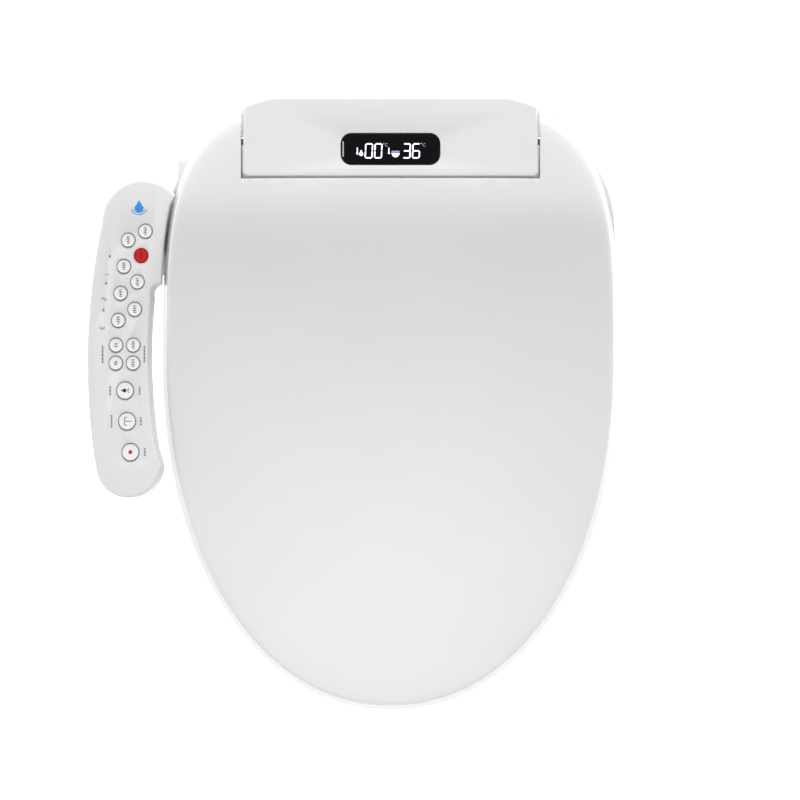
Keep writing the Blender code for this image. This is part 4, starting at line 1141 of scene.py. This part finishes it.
def moulded(name, colour, roughness, vary=0.03, grain=900.0, grain_depth=0.00003, rough_vary=0.05, **options):
    """Moulded plastic: faint cloudiness, uneven gloss and a fine surface grain."""
    material, tree, shader = new_material(name, colour, roughness, **options)
    cloud = object_noise(tree, 11.0, 3.0)
    tint = ramp(tree, cloud, shade(colour, 1 - vary), shade(colour, 1 + vary))
    link(tree, tint, shader.inputs["Base Color"])
    smear = object_noise(tree, 42.0, 5.0)
    gloss = spread(tree, smear, max(0.02, roughness - rough_vary), roughness + rough_vary)
    link(tree, gloss, shader.inputs["Roughness"])
    relief(tree, shader, object_noise(tree, grain, 2.0), 0.25, grain_depth)
    return material


def brushed(name, colour, roughness, stretch):
    """Metal with fine drawn lines along one way."""
    material, tree, shader = new_material(name, colour, roughness, metallic=1.0)
    lines = object_noise(tree, 260.0, 6.0, stretch)
    link(tree, ramp(tree, lines, shade(colour, 0.82), shade(colour, 1.1)), shader.inputs["Base Color"])
    link(tree, spread(tree, lines, roughness * 0.7, roughness * 1.5), shader.inputs["Roughness"])
    relief(tree, shader, lines, 0.3, 0.00004)
    put(shader, "Anisotropic", 0.4)
    return material


def circuit_board(name):
    """Green solder resist over copper tracks, with tinned pads."""
    material, tree, shader = new_material(name, (0.01, 0.13, 0.05), 0.35, coat=0.4)
    places = tree.nodes.new("ShaderNodeTexCoord")
    tracks = tree.nodes.new("ShaderNodeTexBrick")
    put(tracks, "Scale", 130.0)
    put(tracks, "Mortar Size", 0.045)
    put(tracks, "Color1", (0.008, 0.11, 0.045, 1))
    put(tracks, "Color2", (0.012, 0.15, 0.06, 1))
    put(tracks, "Mortar", (0.05, 0.32, 0.12, 1))
    link(tree, places.outputs["Object"], tracks.inputs["Vector"])
    pads = tree.nodes.new("ShaderNodeTexVoronoi")
    put(pads, "Scale", 170.0)
    link(tree, places.outputs["Object"], pads.inputs["Vector"])
    spots = ramp(tree, pads.outputs["Distance"], (1, 1, 1), (0, 0, 0), 0.10, 0.14)
    mix = tree.nodes.new("ShaderNodeMix")
    mix.data_type = "RGBA"
    link(tree, spots, mix.inputs["Factor"])
    link(tree, tracks.outputs["Color"], mix.inputs[6])
    mix.inputs[7].default_value = (0.62, 0.6, 0.55, 1)
    link(tree, mix.outputs[2], shader.inputs["Base Color"])
    relief(tree, shader, tracks.outputs["Fac"], 0.4, 0.0001)
    return material


def heater_film(name):
    """Amber film crossed by a fine copper element."""
    material, tree, shader = new_material(name, (0.75, 0.35, 0.05), 0.3, coat=0.5)
    places = tree.nodes.new("ShaderNodeTexCoord")
    element = tree.nodes.new("ShaderNodeTexWave")
    put(element, "Scale", 95.0)
    put(element, "Distortion", 0.6)
    link(tree, places.outputs["Object"], element.inputs["Vector"])
    colour = ramp(tree, element.outputs["Fac"], (0.72, 0.33, 0.05), (0.45, 0.16, 0.04), 0.72, 0.8)
    link(tree, colour, shader.inputs["Base Color"])
    relief(tree, shader, element.outputs["Fac"], 0.3, 0.0001)
    return material


def lit(name, colour, strength, pixel=900.0):
    """A light-emitting sign: bright, with the faint grid of its cells."""
    material, tree, shader = new_material(name, (0.02, 0.02, 0.05), 0.4)
    cells = object_noise(tree, pixel, 1.0)
    link(tree, ramp(tree, cells, shade(colour, 0.86), shade(colour, 1.0)), shader.inputs["Emission Color"])
    put(shader, "Emission Strength", strength)
    link(tree, spread(tree, cells, 0.35, 0.45), shader.inputs["Roughness"])
    return material


def clear_plastic(name):
    material, tree, shader = new_material(name, (0.86, 0.9, 0.92), 0.12)
    put(shader, "Transmission Weight", 0.6)
    cloud = object_noise(tree, 300.0, 3.0)
    link(tree, spread(tree, cloud, 0.08, 0.25), shader.inputs["Roughness"])
    link(tree, ramp(tree, cloud, (0.82, 0.86, 0.88), (0.9, 0.93, 0.95)), shader.inputs["Base Color"])
    relief(tree, shader, cloud, 0.1, 0.00003)
    return material


MOULDED = {
    "white_gloss": ((0.80, 0.80, 0.80), 0.20, dict(vary=0.008, grain=500, grain_depth=0.000006,
                                                   rough_vary=0.03, coat=0.35)),
    "white_satin": ((0.78, 0.78, 0.785), 0.36, dict(vary=0.010, grain=1500)),
    "panel_white": ((0.76, 0.76, 0.765), 0.34, dict(vary=0.012, grain=1900, grain_depth=0.00004)),
    "key_white": ((0.86, 0.86, 0.86), 0.30, dict(vary=0.01, grain=1600)),
    "grey_plastic": ((0.36, 0.37, 0.38), 0.45, dict(vary=0.05, grain=1300)),
    "dark_plastic": ((0.05, 0.05, 0.055), 0.42, dict(vary=0.15, grain=1300)),
    "rubber": ((0.16, 0.16, 0.165), 0.72, dict(vary=0.12, grain=1600, grain_depth=0.00006)),
    "black_glass": ((0.003, 0.003, 0.004), 0.06, dict(vary=0.3, grain=200, grain_depth=0.000002,
                                                      rough_vary=0.02, specular=0.2)),
    "red_key": ((0.60, 0.003, 0.004), 0.30, dict(vary=0.06, grain=1600)),
    "dark_red": ((0.20, 0.004, 0.006), 0.40, dict(vary=0.08, grain=1600)),
    "dark_print": ((0.13, 0.13, 0.13), 0.5, dict(vary=0.1, grain=2500)),
    "black_print": ((0.02, 0.02, 0.02), 0.5, dict(vary=0.1, grain=2500)),
    "soft_print": ((0.20, 0.20, 0.205), 0.55, dict(vary=0.25, grain=2500)),
    "blue_print": ((0.03, 0.24, 0.66), 0.4, dict(vary=0.2, grain=2500)),
    # Flat grey for the strip at the display lens's end: a painted glint, not a real polished edge
    "painted_glint_grey": ((0.55, 0.55, 0.56), 0.2, dict(vary=0.15, grain=700)),
}


def make_materials():
    table = {name: moulded(name, colour, roughness, **extra)
             for name, (colour, roughness, extra) in MOULDED.items()}
    table.update({
        "brushed_steel": brushed("brushed_steel", (0.62, 0.62, 0.63), 0.26, (1, 0.06, 1)),
        "brass": brushed("brass", (0.72, 0.52, 0.22), 0.28, (1, 1, 0.1)),
        "board_green": circuit_board("board_green"),
        "amber_film": heater_film("amber_film"),
        "clear_plastic": clear_plastic("clear_plastic"),
        "display_light": lit("display_light", (0.80, 0.82, 1.0), 2.2),
        "display_dim": lit("display_dim", (0.42, 0.50, 0.85), 0.9),
    })
    table["steel"] = table["brushed_steel"]
    table["red_plastic"] = table["red_key"]
    return table


MATERIALS = make_materials()


def stand_in(piece, material, node):
    """Dress a piece that stands for one CAD node and rides on that node's body."""
    return dress(piece, material, BODY_OF[node], SLOT_OF[node], node)


def dress(piece, material, body, slot, *replaced):
    """Give a piece its material, the body it rides on, its slot and the CAD nodes it stands for."""
    piece.data.materials.clear()
    piece.data.materials.append(MATERIALS[material])
    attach(piece, body)
    if replaced:
        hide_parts(*replaced)
    return piece


# ---------------------------------------------------------------- assembly

stand_in(make_lid(), "white_gloss", "lid_shell")
ring, pan = make_seat()
stand_in(ring, "white_gloss", "seat_top_shell")
stand_in(pan, "white_satin", "seat_bottom_shell")
cover, base = make_body()
stand_in(cover, "white_gloss", "body_cover")
stand_in(base, "white_satin", "base_case")
stand_in(make_plate(), "white_gloss", "top_plate")
face, tray, arm = make_panel()
stand_in(face, "panel_white", "panel_top_shell")
stand_in(tray, "panel_white", "panel_bottom_shell")
stand_in(arm, "white_satin", "panel_arm")
make_keys()
make_printing()
make_display()
make_nozzles()
make_bumpers()
make_fittings()

for node, obj in frame["nodes"].items():
    obj.data.materials.clear()
    obj.data.materials.append(MATERIALS[SLOT_OF[node]])
    smooth(obj, 30)


# ---------------------------------------------------------------- floor, camera and lights

FLOOR_GLOW = 0.62
WORLD_STRENGTH = 1.04
REAR_POWER_WATTS = 68
FRONT_POWER_WATTS = 85

def make_floor():
    """A plain pale floor that reads as paper white under the lights."""
    bpy.ops.mesh.primitive_plane_add(size=12, location=(0, -0.2, -0.0006))
    floor = bpy.context.object
    floor.name = "studio_floor"
    material, tree, shader = new_material("studio_floor", (0.93, 0.93, 0.93), 0.9, specular=0.1)
    cloud = object_noise(tree, 1.5, 2.0)
    link(tree, ramp(tree, cloud, (0.925, 0.925, 0.925), (0.935, 0.935, 0.935)), shader.inputs["Base Color"])
    put(shader, "Emission Color", (1, 1, 1, 1))
    put(shader, "Emission Strength", FLOOR_GLOW)
    floor.data.materials.append(material)


def hang_light(light, place, target, power):
    light.energy = power
    obj = bpy.data.objects.new(light.name, light)
    obj.location = place
    obj.rotation_euler = (Vector(target) - Vector(place)).to_track_quat("-Z", "Y").to_euler()
    obj.visible_camera = False
    bpy.context.scene.collection.objects.link(obj)
    return obj


VIEW_CENTRE = Vector((0.0079, -0.196, 0.0))
CAMERA_DISTANCE = 12.0
FIELD = 0.668


def make_camera():
    camera = bpy.data.cameras.new("camera")
    camera.sensor_width = 36.0
    camera.lens = 36.0 * CAMERA_DISTANCE / FIELD
    camera.clip_end = 50.0
    obj = bpy.data.objects.new("camera", camera)
    obj.location = VIEW_CENTRE + Vector((0, 0, CAMERA_DISTANCE + 0.05))
    bpy.context.scene.collection.objects.link(obj)
    bpy.context.scene.camera = obj


def make_world():
    """Even studio light, dimmer overhead than at the horizon."""
    world = bpy.data.worlds.new("studio")
    world.use_nodes = True
    tree = world.node_tree
    background = tree.nodes["Background"]
    places = tree.nodes.new("ShaderNodeTexCoord")
    parts = tree.nodes.new("ShaderNodeSeparateXYZ")
    link(tree, places.outputs["Generated"], parts.inputs["Vector"])
    colour = ramp(tree, parts.outputs["Z"], (0.95, 0.95, 0.95), (0.36, 0.36, 0.36), 0.15, 0.95)
    link(tree, colour, background.inputs["Color"])
    put(background, "Strength", WORLD_STRENGTH)
    bpy.context.scene.world = world


def make_lights():
    softbox = bpy.data.lights.new("rear_softbox", "AREA")
    softbox.shape = "RECTANGLE"
    softbox.size, softbox.size_y = (2.2, 1.2)
    softbox.spread = math.pi
    hang_light(softbox, (0.1, 2.4, 1.9), (0, -0.1, 0.05), REAR_POWER_WATTS)
    glow = bpy.data.lights.new("front_glow", "SPOT")
    glow.spot_size = math.radians(16)
    glow.spot_blend = 1.0
    glow.shadow_soft_size = 0.25
    hang_light(glow, (-0.02, -0.47, 2.8), (-0.02, -0.43, 0.03), FRONT_POWER_WATTS).visible_glossy = False


make_floor()
make_camera()
make_world()
make_lights()
bpy.context.scene.view_settings.view_transform = "Standard"
